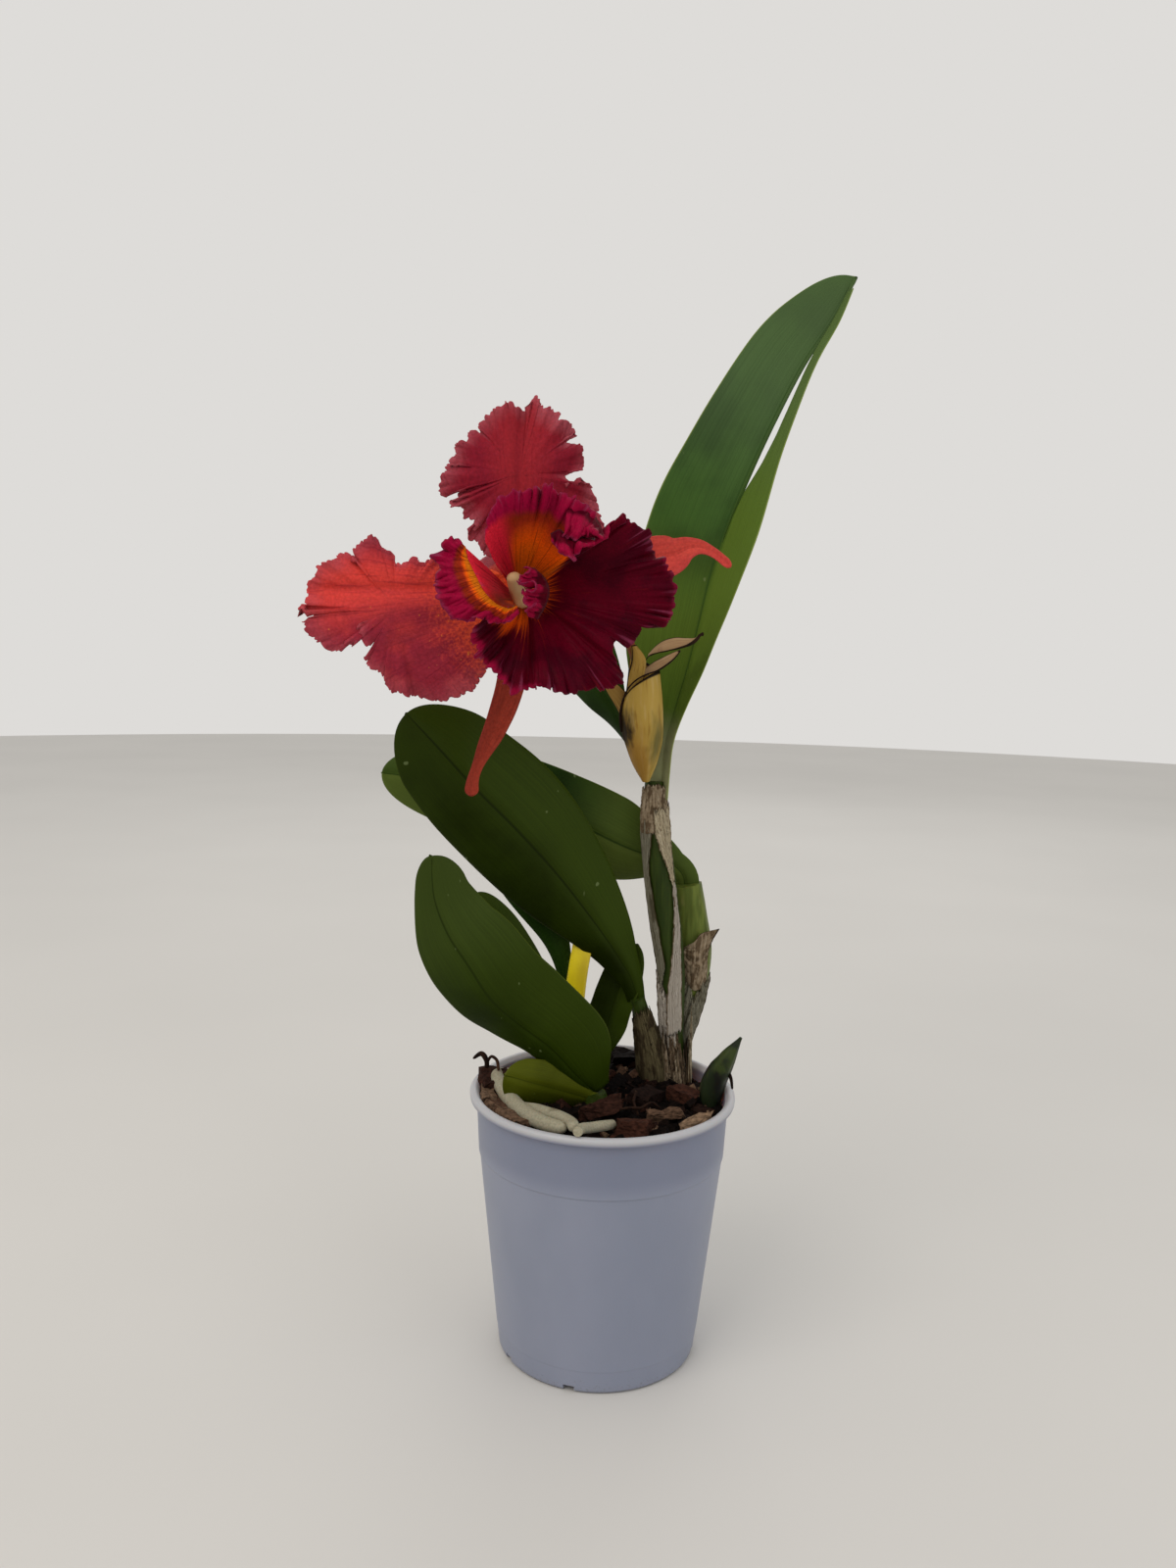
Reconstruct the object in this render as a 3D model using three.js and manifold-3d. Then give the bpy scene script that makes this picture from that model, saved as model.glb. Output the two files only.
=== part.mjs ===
// A flowering cattleya orchid in a plain plastic nursery pot, as a three.js scene graph.
// Millimetres, +Z up. The origin is the middle of the pot's underside; the flower faces -Y.
// Every mesh is one closed solid. Pieces that touch keep a gap of SEAT between them.
import * as THREE from "three";
import { mergeVertices } from "three/addons/utils/BufferGeometryUtils.js";
import Module from "manifold-3d";

const wasm = await Module();
wasm.setup();

// ---- driving dimensions ---------------------------------------------------------------------

const SEAT = 0.3; // gap between two pieces that touch
const SLIVER = 0.06; // detail smaller than this is taken out after a cut

const POT_HEIGHT = 120;
const POT_BASE_RADIUS = 45;
const POT_RIM_RADIUS = 60;
const POT_WALL = 1.3;
const POT_FLOOR = 2.2;
const POT_STEP_HEIGHT = 91.5; // the ring step below the rim
const POT_STEP_RADIUS = 55;
const POT_STEP = 0.5;
const POT_NECK_RADIUS = 56.8; // the wall just under the rolled rim
const POT_RIM_DEPTH = 3.4;
const POT_SIDES = 40;
const NOTCH_PITCH = 45; // degrees between the drain notches of the base edge
const NOTCH_FIRST = 255.5;
const NOTCH_COUNT = 7;
const NOTCH_SIZE = [5, 9, 2.6]; // across, inwards, up

const BARK_TOP = 112;
const BARK_MOUND = 5; // how much higher the bark lies behind the plant
const BARK_CHIPS = 12;
const BARK_SIDES = 20;
const BARK_SEED = 7;

const FLOWER_AT = [-38.5, -30, 340.5]; // where the flower's parts meet
const FLOWER_FACING = [0.077, -0.996, -0.039];
const FLOWER_ROLL = 1.4; // degrees
const PETAL_THICKNESS = 0.8;
const PETAL_RAYS = 60;
const LIP_THICKNESS = 0.8;
const SEPAL_THICKNESS = 1;
const LEAF_THICKNESS = 1.7;
const LEAF_EDGE = 0.9;
const SHEATH_THICKNESS = 0.7;

// ---- materials ------------------------------------------------------------------------------

// A finish as a three.js material: colour, roughness, metalness.
function finish(color, roughness) {
  return new THREE.MeshStandardMaterial({ color, roughness, metalness: 0 });
}

const finishes = {
  pot: finish(0xc3c9d6, 0.45),
  bark: finish(0x3a241a, 0.95),
  leaf: finish(0x2f4a1c, 0.42),
  leafOlive: finish(0x5a5c18, 0.45),
  bulb: finish(0x5d6b34, 0.55),
  shoot: finish(0x3d463b, 0.5),
  paper: finish(0xb8ab98, 0.85),
  spathe: finish(0xb8974f, 0.7),
  root: finish(0xc5cab0, 0.7),
  petal: finish(0xc93a3c, 0.5),
  sepal: finish(0xe0553f, 0.5),
  lip: finish(0x7a0c3c, 0.45),
  column: finish(0xe6c793, 0.4),
  label: finish(0xf2d318, 0.4),
};

// ---- small helpers --------------------------------------------------------------------------

const point = ([x, y, z = 0]) => new THREE.Vector3(x, y, z);
const mix = THREE.MathUtils.lerp;
const radians = THREE.MathUtils.degToRad;

function curveThrough(points) {
  return new THREE.CatmullRomCurve3(points.map(point), false, "centripetal");
}

// The value at t (0 to 1) of a list of evenly spaced values, straight between them.
function along(values, t) {
  const place = t * (values.length - 1);
  const from = Math.min(Math.floor(place), values.length - 2);
  return mix(values[from], values[from + 1], place - from);
}

// A repeatable random number from 0 to 1.
function randomFrom(seed) {
  let state = seed;
  return () => {
    state = (state + 0x6d2b79f5) | 0;
    let bits = Math.imul(state ^ (state >>> 15), 1 | state);
    bits = (bits + Math.imul(bits ^ (bits >>> 7), 61 | bits)) ^ bits;
    return ((bits ^ (bits >>> 14)) >>> 0) / 4294967296;
  };
}

function geometryFrom(vertices, triangles) {
  const geometry = new THREE.BufferGeometry();
  geometry.setAttribute("position", new THREE.Float32BufferAttribute(vertices, 3));
  geometry.setIndex(triangles);
  return geometry;
}

// ---- solids: joining and cutting ------------------------------------------------------------

function solidOf(geometry) {
  const bare = geometry.clone();
  bare.deleteAttribute("normal");
  bare.deleteAttribute("uv");
  const merged = mergeVertices(bare, 1e-4);
  return new wasm.Manifold(
    new wasm.Mesh({
      numProp: 3,
      vertProperties: merged.attributes.position.array,
      triVerts: new Uint32Array(merged.index.array),
    }),
  );
}

function geometryOf(solid) {
  const mesh = solid.getMesh();
  return geometryFrom(Array.from(mesh.vertProperties), Array.from(mesh.triVerts));
}

// The biggest body of a solid that cuts may have left in pieces, without the slivers of the cuts.
function biggest(solid) {
  const bodies = solid.simplify(SLIVER).decompose();
  return bodies.reduce((a, b) => (a.volume() > b.volume() ? a : b));
}

// ---- shapes ---------------------------------------------------------------------------------

// A closed solid through rings of points, each ring counter-clockwise about the way it travels.
function loft(rings) {
  const count = rings[0].length;
  const vertices = rings.flat().flatMap((p) => p.toArray());
  const middle = (ring) =>
    ring.reduce((sum, p) => sum.add(p), new THREE.Vector3()).divideScalar(count);
  const start = rings.length * count;
  vertices.push(...middle(rings[0]).toArray(), ...middle(rings.at(-1)).toArray());
  const triangles = [];
  for (let j = 0; j < count; j++) {
    const next = (j + 1) % count;
    for (let k = 0; k + 1 < rings.length; k++) {
      const low = k * count;
      const high = low + count;
      triangles.push(low + j, low + next, high + next, low + j, high + next, high + j);
    }
    const last = (rings.length - 1) * count;
    triangles.push(start, next, j, start + 1, last + j, last + next);
  }
  return geometryFrom(vertices, triangles);
}

// A round stem along a curve whose radius follows `radii`; `flat` squashes it in its own frame.
function stem({ through, radii, sides = 8, steps = 8, flat = 1 }, grow = 0) {
  const curve = curveThrough(through);
  const frames = curve.computeFrenetFrames(steps, false);
  const rings = [];
  for (let i = 0; i <= steps; i++) {
    const t = i / steps;
    const centre = curve.getPointAt(t);
    if (i === 0) centre.addScaledVector(frames.tangents[0], -grow);
    if (i === steps) centre.addScaledVector(frames.tangents[steps], grow);
    const radius = along(radii, t) + grow;
    const ring = [];
    for (let j = 0; j < sides; j++) {
      const angle = (2 * Math.PI * j) / sides;
      ring.push(
        centre
          .clone()
          .addScaledVector(frames.normals[i], radius * Math.cos(angle))
          .addScaledVector(frames.binormals[i], radius * flat * Math.sin(angle)),
      );
    }
    rings.push(ring);
  }
  return loft(rings);
}

// Moves the border of a grid of points outwards, in the sheet's own surface.
function widened(rows, grow) {
  const wide = rows.map((row) => row.map((p) => p.clone()));
  const push = (edge, inner) => edge.add(edge.clone().sub(inner).setLength(grow));
  for (const row of wide) {
    push(row[0], row[1]);
    push(row.at(-1), row.at(-2));
  }
  wide[0].forEach((p, j) => push(p, wide[1][j]));
  wide.at(-1).forEach((p, j) => push(p, wide.at(-2)[j]));
  return wide;
}

// The surface normal at each point of a grid, towards the side that rows x columns points to.
function gridNormals(rows) {
  return rows.map((row, i) =>
    row.map((_, j) => {
      const before = rows[Math.max(i - 1, 0)][j];
      const after = rows[Math.min(i + 1, rows.length - 1)][j];
      const left = row[Math.max(j - 1, 0)];
      const right = row[Math.min(j + 1, row.length - 1)];
      return after.clone().sub(before).cross(right.clone().sub(left)).normalize();
    }),
  );
}

// A closed thin sheet on a grid of mid-surface points. Both faces are split along the same
// diagonal, so a waved sheet never crosses itself. `thickness` is a number or a rule of (i, j).
function sheet(rows, thickness, grow = 0, normals = gridNormals(rows)) {
  const grid = grow > 0 ? widened(rows, grow) : rows;
  const across = grid[0].length;
  const backFrom = grid.length * across;
  const sides = [1, -1].flatMap((side) =>
    grid.flatMap((row, i) =>
      row.flatMap((p, j) => {
        const thick = typeof thickness === "number" ? thickness : thickness(i, j);
        return p.clone().addScaledVector(normals[i][j], side * (thick / 2 + grow)).toArray();
      }),
    ),
  );
  const triangles = [];
  const index = (i, j) => i * across + j;
  const wall = (p, q) => triangles.push(q, p, p + backFrom, q, p + backFrom, q + backFrom);
  for (let i = 0; i + 1 < grid.length; i++) {
    for (let j = 0; j + 1 < across; j++) {
      const [a, b, c, d] = [index(i, j), index(i + 1, j), index(i + 1, j + 1), index(i, j + 1)];
      triangles.push(a, b, c, a, c, d);
      triangles.push(
        ...[a, c, b, a, d, c].map((corner) => corner + backFrom),
      );
    }
    wall(index(i, 0), index(i + 1, 0));
    wall(index(i + 1, across - 1), index(i, across - 1));
  }
  for (let j = 0; j + 1 < across; j++) {
    wall(index(grid.length - 1, j), index(grid.length - 1, j + 1));
    wall(index(0, j + 1), index(0, j));
  }
  return geometryFrom(sides, triangles);
}

// A strap-shaped blade along its midrib: a leaf, a sepal or the label.
// `right` is the way to its right half at the base and at the tip; `fold` lifts both halves out
// of the flat; the blade widens over `shoulder` of its length and rounds off from `tipFrom` on.
function blade(spec, grow = 0) {
  const {
    spine,
    right,
    halfWidth: [leftHalf, rightHalf],
    stalk = 3,
    shoulder = 0.4,
    tipFrom = 0.6,
    fold = 15,
    steps = 12,
    lanes = [-1, -0.55, 0, 0.55, 1],
    middle = LEAF_THICKNESS,
    edge = LEAF_EDGE,
  } = spec;
  const curve = curveThrough(spine);
  const lift = Math.sin(radians(fold));
  const reach = Math.cos(radians(fold));
  const rows = [];
  for (let i = 0; i <= steps; i++) {
    const t = 1 - (1 - i / steps) ** 1.5;
    const centre = curve.getPointAt(t);
    const tangent = curve.getTangentAt(t);
    const side = point(right[0]).lerp(point(right.at(-1)), t);
    side.addScaledVector(tangent, -side.dot(tangent)).normalize();
    const face = side.clone().cross(tangent);
    const rise = Math.sin((Math.PI / 2) * Math.min(t / shoulder, 1)) ** 1.3;
    const past = Math.max(t - tipFrom, 0) / (1 - tipFrom);
    const shape = rise * Math.sqrt(Math.max(1 - past ** 2.2, 0));
    const row = lanes.map((lane) => {
      const full = lane < 0 ? leftHalf : rightHalf;
      const least = t < 0.5 ? stalk : 1;
      const half = Math.max(full * shape, least);
      return centre
        .clone()
        .addScaledVector(side, lane * half * reach)
        .addScaledVector(face, Math.abs(lane) ** 1.3 * half * lift);
    });
    rows.push(row);
  }
  const thickness = (i, j) => mix(middle, edge, Math.abs(lanes[j]));
  return sheet(rows, thickness, grow);
}

// A petal: a thin disc that spreads from `centre` out to its frilled margin, which runs clockwise
// round it from the claw. `bend(x, y)` is how far it stands forward of the flower's plane.
function petal({ centre, margin, bend, waves, frill }, grow = 0) {
  const edge = new THREE.CatmullRomCurve3(margin.map(point), true, "centripetal");
  const middle = point(centre);
  const rings = [0.32, 0.58, 0.8, 1];
  const half = PETAL_THICKNESS / 2 + grow;
  const front = [middle.clone().setZ(bend(...centre) + half)];
  for (const r of rings) {
    for (let i = 0; i < PETAL_RAYS; i++) {
      const u = i / PETAL_RAYS;
      const rim = edge.getPoint(u);
      const outwards = rim.clone().sub(middle);
      const p = middle.clone().addScaledVector(outwards, r + (r * grow) / outwards.length());
      const wave = Math.sin(2 * Math.PI * waves * u) + 0.4 * Math.sin(6 * Math.PI * u);
      const calm = Math.min(1, 8 * u, 8 * (1 - u));
      p.z = bend(p.x, p.y) + frill * calm * wave * r ** 4 + half;
      front.push(p);
    }
  }
  const back = front.map((p) => p.clone().setZ(p.z - 2 * half));
  const triangles = [];
  const both = (a, b, c) =>
    triangles.push(a, b, c, a + front.length, c + front.length, b + front.length);
  const index = (ring, i) => 1 + ring * PETAL_RAYS + (i % PETAL_RAYS);
  const last = rings.length - 1;
  for (let i = 0; i < PETAL_RAYS; i++) {
    both(0, index(0, i + 1), index(0, i));
    for (let ring = 0; ring < last; ring++) {
      both(index(ring, i), index(ring, i + 1), index(ring + 1, i + 1));
      both(index(ring, i), index(ring + 1, i + 1), index(ring + 1, i));
    }
    const [p, q] = [index(last, i), index(last, i + 1)];
    triangles.push(p, q, q + front.length, p, q + front.length, p + front.length);
  }
  return geometryFrom([...front, ...back].flatMap((p) => p.toArray()), triangles);
}

// ---- the scene graph and its seats ----------------------------------------------------------

const plant = new THREE.Group();
const flower = new THREE.Group();
flower.position.set(...FLOWER_AT);
{
  const facing = point(FLOWER_FACING).normalize();
  const roll = radians(FLOWER_ROLL);
  const sideways = new THREE.Vector3(Math.cos(roll), 0, Math.sin(roll));
  const up = facing.clone().cross(sideways).normalize();
  const axes = new THREE.Matrix4().makeBasis(up.clone().cross(facing), up, facing);
  flower.quaternion.setFromRotationMatrix(axes);
}
plant.add(flower);
plant.updateMatrixWorld(true);

const seats = []; // what is placed already, each SEAT bigger all round

// Adds one named piece to a group. `make(grow)` gives its geometry, `grow` bigger all round; what
// touches a piece placed earlier is cut back to SEAT from it.
function place(group, name, material, make) {
  const world = (grow) => solidOf(make(grow).applyMatrix4(group.matrixWorld));
  let solid = world(0);
  for (const seat of seats) {
    solid = solid.subtract(seat);
  }
  if (seats.length > 0) {
    solid = biggest(solid);
  }
  seats.push(world(SEAT));
  const inverse = group.matrixWorld.clone().invert();
  const mesh = new THREE.Mesh(geometryOf(solid).applyMatrix4(inverse), material);
  mesh.name = name;
  group.add(mesh);
  return mesh;
}

// ---- pot ------------------------------------------------------------------------------------

// A lathed solid about Z from a profile of (radius, height) that starts and ends on the axis.
function turned(profile, turns) {
  const points = profile.map(([radius, height]) => new THREE.Vector2(radius, height));
  return new THREE.LatheGeometry(points, turns).rotateX(Math.PI / 2);
}

function potGeometry(grow) {
  const rimLow = POT_HEIGHT - POT_RIM_DEPTH;
  const profile = [
    [0, -grow],
    [POT_BASE_RADIUS - 0.8 + grow, -grow],
    [POT_BASE_RADIUS + grow, 0.8 - grow],
    [POT_STEP_RADIUS + grow, POT_STEP_HEIGHT],
    [POT_STEP_RADIUS + POT_STEP + grow, POT_STEP_HEIGHT + POT_STEP],
    [POT_NECK_RADIUS + grow, rimLow - grow],
    [POT_RIM_RADIUS - 0.6 + grow, rimLow - grow],
    [POT_RIM_RADIUS + grow, rimLow + 0.8],
    [POT_RIM_RADIUS + grow, POT_HEIGHT - 0.8],
    [POT_RIM_RADIUS - 0.8 + grow, POT_HEIGHT + grow],
    [POT_NECK_RADIUS - grow, POT_HEIGHT + grow],
    [POT_NECK_RADIUS - POT_WALL - grow, POT_HEIGHT - 1],
    [POT_STEP_RADIUS - POT_WALL - grow, POT_STEP_HEIGHT],
    [POT_BASE_RADIUS - POT_WALL - grow, POT_FLOOR + grow],
    [0, POT_FLOOR + grow],
  ];
  const shell = turned(profile, POT_SIDES);
  if (grow > 0) return shell;
  let solid = solidOf(shell);
  for (let k = 0; k < NOTCH_COUNT; k++) {
    const [wide, deep, high] = NOTCH_SIZE;
    const notch = new THREE.BoxGeometry(wide, deep, 2 * high);
    notch.translate(0, POT_BASE_RADIUS, 0);
    notch.rotateZ(radians(NOTCH_FIRST - 90 - NOTCH_PITCH * k));
    solid = solid.subtract(solidOf(notch));
  }
  return geometryOf(solid);
}

place(plant, "pot", finishes.pot, potGeometry);

// ---- rhizome, pseudobulbs and shoot ---------------------------------------------------------

function rhizomeGeometry(grow) {
  const runs = [
    [[-5, -5, 109], [0, 8, 108.5], [3, 23, 108.5], [20, 28, 108.5], [34, 27, 108.5], [38, 37, 108]],
    [[2, 22, 108.5], [-8, 20, 109], [-18, 24, 109]],
    [[34, 27, 108.5], [43, 18, 108], [49, 6, 107.5]],
  ];
  return geometryOf(
    runs
      .map((through) => ({ through, radii: [3.4, 3.8, 3.6, 3.2], sides: 6, steps: 5 }))
      .map((run) => solidOf(stem(run, grow)))
      .reduce((a, b) => a.add(b)),
  );
}

place(plant, "rhizome", finishes.bulb, rhizomeGeometry);

// The swollen stems, from the rhizome to where their leaves start.
const pseudobulbs = {
  tall: {
    through: [
      [34.8, 26, 109], [32.4, 27, 138], [30.4, 28, 171], [25.1, 28.5, 209], [20.9, 28, 242],
      [20.4, 28, 257],
    ],
    radii: [4.2, 5.2, 6.2, 6.8, 6.6, 6.2, 5],
    steps: 10,
  },
  back: {
    through: [[37, 35.5, 109], [37.6, 38, 129], [42.6, 41, 159], [44, 42.5, 178], [41, 42.5, 203]],
    radii: [3.8, 6.6, 8.4, 8.6, 7, 4.6],
    steps: 8,
  },
  mid: {
    through: [[20.5, 28, 109], [18.5, 26, 130], [17.4, 24, 156]],
    radii: [5.2, 6.4, 5.6, 3.6],
    steps: 6,
  },
  front: {
    through: [[-2.5, -2.5, 109], [-2.6, -3, 114], [-3, -3.5, 118.5]],
    radii: [5.4, 5.6, 4.4],
    steps: 4,
  },
  small_left: {
    through: [[-8, 19.5, 109], [-8.6, 18, 113.5], [-9.4, 17.6, 117]],
    radii: [4.2, 4.4, 3.2],
    steps: 4,
  },
  small_mid: {
    through: [[-16, 23.4, 109], [-15.8, 22.5, 120], [-15.7, 22, 131]],
    radii: [3.8, 4.2, 2.8],
    steps: 4,
  },
  small_right: {
    through: [[1, 25, 109], [-0.5, 25.6, 113], [-1.2, 25.4, 117.5]],
    radii: [4.2, 4.4, 3.2],
    steps: 4,
  },
};

for (const [name, bulb] of Object.entries(pseudobulbs)) {
  place(plant, "pseudobulb_" + name, finishes.bulb, (grow) => stem(bulb, grow));
}

const shoot = {
  through: [[48.6, 4.5, 109], [50.4, 2, 122.5], [55.8, -2, 135.6], [61.4, -4, 146.1]],
  radii: [4.4, 5.6, 5.2, 3.4, 0.6],
  flat: 0.85,
};
place(plant, "new_shoot", finishes.shoot, (grow) => stem(shoot, grow));

// ---- leaves ---------------------------------------------------------------------------------

const tallLeaf = {
  spine: [
    [26, 28, 258], [29.6, 29, 283], [34.9, 31, 306], [45, 35, 346], [50.9, 38, 377],
    [60, 40, 400], [72.7, 42, 428], [87.3, 44, 458], [104, 46, 488],
  ],
  right: [[0.8, -0.6, 0], [0.8, -0.6, 0]],
  halfWidth: [36, 28],
  stalk: 4.5,
  shoulder: 0.5,
  tipFrom: 0.45,
  fold: 37,
  steps: 15,
};
const TEAR_SPAN = [0.48, 0.9]; // along the midrib
const TEAR_WIDTH = 2.6;

// The tall leaf has split beside its midrib, over the span of the tear.
function tallLeafGeometry(grow) {
  const whole = blade(tallLeaf, grow);
  if (grow > 0) return whole;
  const midrib = curveThrough(tallLeaf.spine);
  const steps = 4;
  const tear = [];
  for (let i = 0; i <= steps; i++) {
    const t = mix(...TEAR_SPAN, i / steps);
    const tangent = midrib.getTangentAt(t);
    const side = point(tallLeaf.right[0]);
    side.addScaledVector(tangent, -side.dot(tangent)).normalize();
    const face = side.clone().cross(tangent);
    const half = mix(0.3, TEAR_WIDTH / 2, Math.sin((Math.PI * i) / steps));
    const centre = midrib.getPointAt(t).addScaledVector(side, TEAR_WIDTH);
    const corner = (a, b) => centre.clone().addScaledVector(side, a).addScaledVector(face, b);
    tear.push([corner(half, -6), corner(-half, -6), corner(-half, 9), corner(half, 9)]);
  }
  return geometryOf(solidOf(whole).subtract(solidOf(loft(tear))));
}

place(plant, "leaf_tall", finishes.leaf, tallLeafGeometry);

const leaves = {
  tall_second: {
    spine: [
      [17, 31, 258], [10, 34, 273], [-2, 38, 294], [-22, 41, 317], [-46, 43, 334], [-66, 44, 345],
    ],
    right: [[0.5, -0.5, 0.7], [0.6, -0.25, 0.75]],
    halfWidth: [16, 22],
    fold: -14,
    shoulder: 0.5,
    tipFrom: 0.55,
  },
  mid: {
    spine: [
      [17.3, 23, 157], [12.5, 20, 166], [1.5, 14, 183], [-20.5, 7, 213],
      [-39.8, 0, 235.5], [-59.5, -6, 256], [-74.5, -10, 273], [-86, -12, 284],
    ],
    right: [[0.8, 0.1, 0.55], [0.78, 0.2, 0.6]],
    halfWidth: [28, 29],
    stalk: 3.6,
    shoulder: 0.52,
    tipFrom: 0.55,
    fold: -17,
    steps: 14,
  },
  back: {
    spine: [
      [40.6, 43, 204], [37, 42, 211], [27.7, 40, 216], [8.7, 37, 224],
      [-19.2, 33, 237], [-55.6, 30, 250], [-82.3, 27, 255], [-106, 25, 258],
    ],
    right: [[0.4, -0.3, 0.85], [0.25, 0.1, 0.95]],
    halfWidth: [24, 21],
    stalk: 4,
    shoulder: 0.32,
    tipFrom: 0.6,
    fold: -16,
    steps: 14,
  },
  front: {
    spine: [
      [-3.4, -4, 118.5], [-9, -8, 125], [-23.3, -14, 142], [-39.4, -20, 156], [-49, -24, 166],
      [-59.3, -28, 183], [-67, -31, 196], [-72.5, -34, 212], [-74, -36, 230.5],
    ],
    right: [[0.75, -0.3, 0.6], [0.85, 0.3, 0.3]],
    halfWidth: [15.5, 25],
    stalk: 3.6,
    shoulder: 0.4,
    tipFrom: 0.5,
    fold: -18,
    steps: 14,
  },
  low: {
    spine: [
      [-7, -8, 117.8], [-14, -14, 120.5], [-23, -20, 125.5], [-32, -26, 130.5], [-42, -29.5, 135],
    ],
    right: [[0.2, -0.3, 0.9], [0.25, 0.1, 0.9]],
    halfWidth: [11.5, 11],
    stalk: 3.2,
    shoulder: 0.35,
    tipFrom: 0.6,
    fold: -20,
    steps: 9,
  },
  small_left: {
    spine: [[-9.6, 17, 117.5], [-15, 15, 127], [-32.5, 10, 152], [-48.5, 6, 182], [-60, 3, 207]],
    right: [[0.8, 0, 0.5], [0.9, 0.1, 0.4]],
    halfWidth: [14, 15],
    fold: -15,
    steps: 10,
  },
  small_mid: {
    spine: [[-15.7, 22, 131.5], [-18, 24, 160], [-24.3, 23, 184], [-40, 20, 208], [-58.6, 17, 231]],
    right: [[0.9, 0.2, 0], [0.8, 0.1, 0.5]],
    halfWidth: [10, 10],
    stalk: 2.6,
    shoulder: 0.7,
    tipFrom: 0.75,
    fold: -14,
    steps: 10,
  },
  small_right: {
    spine: [[-1.4, 25, 118], [-0.5, 23, 130], [3, 22, 146], [8.5, 22, 163], [14.6, 22.5, 179]],
    right: [[0.9, -0.4, 0], [0.85, -0.3, -0.4]],
    halfWidth: [10.5, 10.5],
    fold: 15,
    steps: 9,
  },
};

for (const [name, leaf] of Object.entries(leaves)) {
  const material = name === "low" ? finishes.leafOlive : finishes.leaf;
  place(plant, "leaf_" + name, material, (grow) => blade(leaf, grow));
}

// ---- dry sheaths, spathe and bract ----------------------------------------------------------

// A papery sheath that wraps a pseudobulb between two heights (as parts of its length), over the
// angles `from` to `to` in degrees (each at the foot and at the top), `lift` clear of it.
function sheath({ bulb, span, from, to, lift }, grow = 0) {
  const { through, radii } = pseudobulbs[bulb];
  const curve = curveThrough(through);
  const steps = 5;
  const turns = 5;
  const rows = [];
  for (let i = 0; i <= steps; i++) {
    const t = mix(span[0], span[1], i / steps);
    const centre = curve.getPointAt(t);
    const radius = along(radii, t) + along(lift, i / steps);
    const row = [];
    for (let j = 0; j <= turns; j++) {
      const angle = radians(mix(along(from, i / steps), along(to, i / steps), j / turns));
      const out = new THREE.Vector3(Math.cos(angle), Math.sin(angle), 0);
      row.push(centre.clone().addScaledVector(out, radius));
    }
    rows.push(row);
  }
  rows.reverse(); // so that its outer face points out
  return sheet(rows, SHEATH_THICKNESS, grow);
}

// Angles run from +X round over +Y; 270 faces the front.
const sheaths = {
  collar: { bulb: "tall", span: [0.72, 0.995], from: [290, 170], to: [370, 380], lift: [1, 0.9] },
  strip: { bulb: "tall", span: [0.34, 0.71], from: [280, 300], to: [372, 352], lift: [1, 2] },
  side: { bulb: "tall", span: [0.3, 0.7], from: [190, 180], to: [235, 222], lift: [1.2, 1] },
  foot: { bulb: "tall", span: [0.1, 0.33], from: [190, 205], to: [380, 350], lift: [2, 1] },
  back: { bulb: "back", span: [0.25, 0.68], from: [225, 250], to: [345, 330], lift: [1, 1.8] },
  mid: { bulb: "mid", span: [0.22, 0.8], from: [190, 215], to: [350, 320], lift: [1, 0.9] },
};

for (const [name, wrap] of Object.entries(sheaths)) {
  place(plant, "sheath_" + name, finishes.paper, (grow) => sheath(wrap, grow));
}

// The dried flower sheath: a long boat, folded along its keel at the right and open at the left.
function spatheGeometry(grow) {
  const front = curveThrough([
    [15.6, 21.2, 256.5], [9.5, 14, 267], [4, 9.5, 281.7], [4.7, 7, 294.5], [11.4, 8, 304.6],
    [27.3, 12, 315],
  ]);
  const keel = curveThrough([
    [19.2, 24, 256.5], [21.3, 23.5, 267], [23.3, 24, 283], [22.4, 22.5, 296], [20.5, 21, 306],
    [29, 18, 317.5],
  ]);
  const back = curveThrough([
    [16.6, 26, 256.5], [12.4, 25, 266.5], [6.6, 24.5, 280.6], [4.8, 24, 296.3], [6.6, 23.5, 312],
    [37, 21, 323],
  ]);
  const steps = 9;
  const rows = [];
  for (let i = 0; i <= steps; i++) {
    const t = i / steps;
    const [a, b, c] = [front.getPoint(t), keel.getPoint(t), back.getPoint(t)];
    const belly = mix(0.15, 0.42, Math.sin(Math.PI * Math.min(t * 1.2, 1)));
    const away = b.clone().sub(a.clone().lerp(c, 0.5));
    const bulgeFront = new THREE.Vector3(0, -1, 0).multiplyScalar(away.length() * belly);
    const bulgeBack = bulgeFront.clone().negate();
    const row = [
      a,
      a.clone().lerp(b, 0.35).add(bulgeFront),
      a.clone().lerp(b, 0.72).add(bulgeFront),
      b,
      c.clone().lerp(b, 0.65).add(bulgeBack.multiplyScalar(0.6)),
      c.clone().lerp(b, 0.3).add(bulgeBack),
      c,
    ];
    rows.push(row);
  }
  return sheet(rows, SHEATH_THICKNESS, grow);
}

place(plant, "spathe", finishes.spathe, spatheGeometry);

const innerBract = {
  spine: [[13, 20, 262], [10, 18.5, 278], [5, 17, 292], [-4, 15.5, 304]],
  right: [[0.7, -0.5, 0.4], [0.6, -0.3, 0.7]],
  halfWidth: [4.5, 4.5],
  stalk: 2,
  fold: -20,
  steps: 6,
  middle: 0.8,
  edge: 0.7,
};
place(plant, "inner_bract", finishes.spathe, (grow) => blade(innerBract, grow));

// ---- flower ---------------------------------------------------------------------------------

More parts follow.
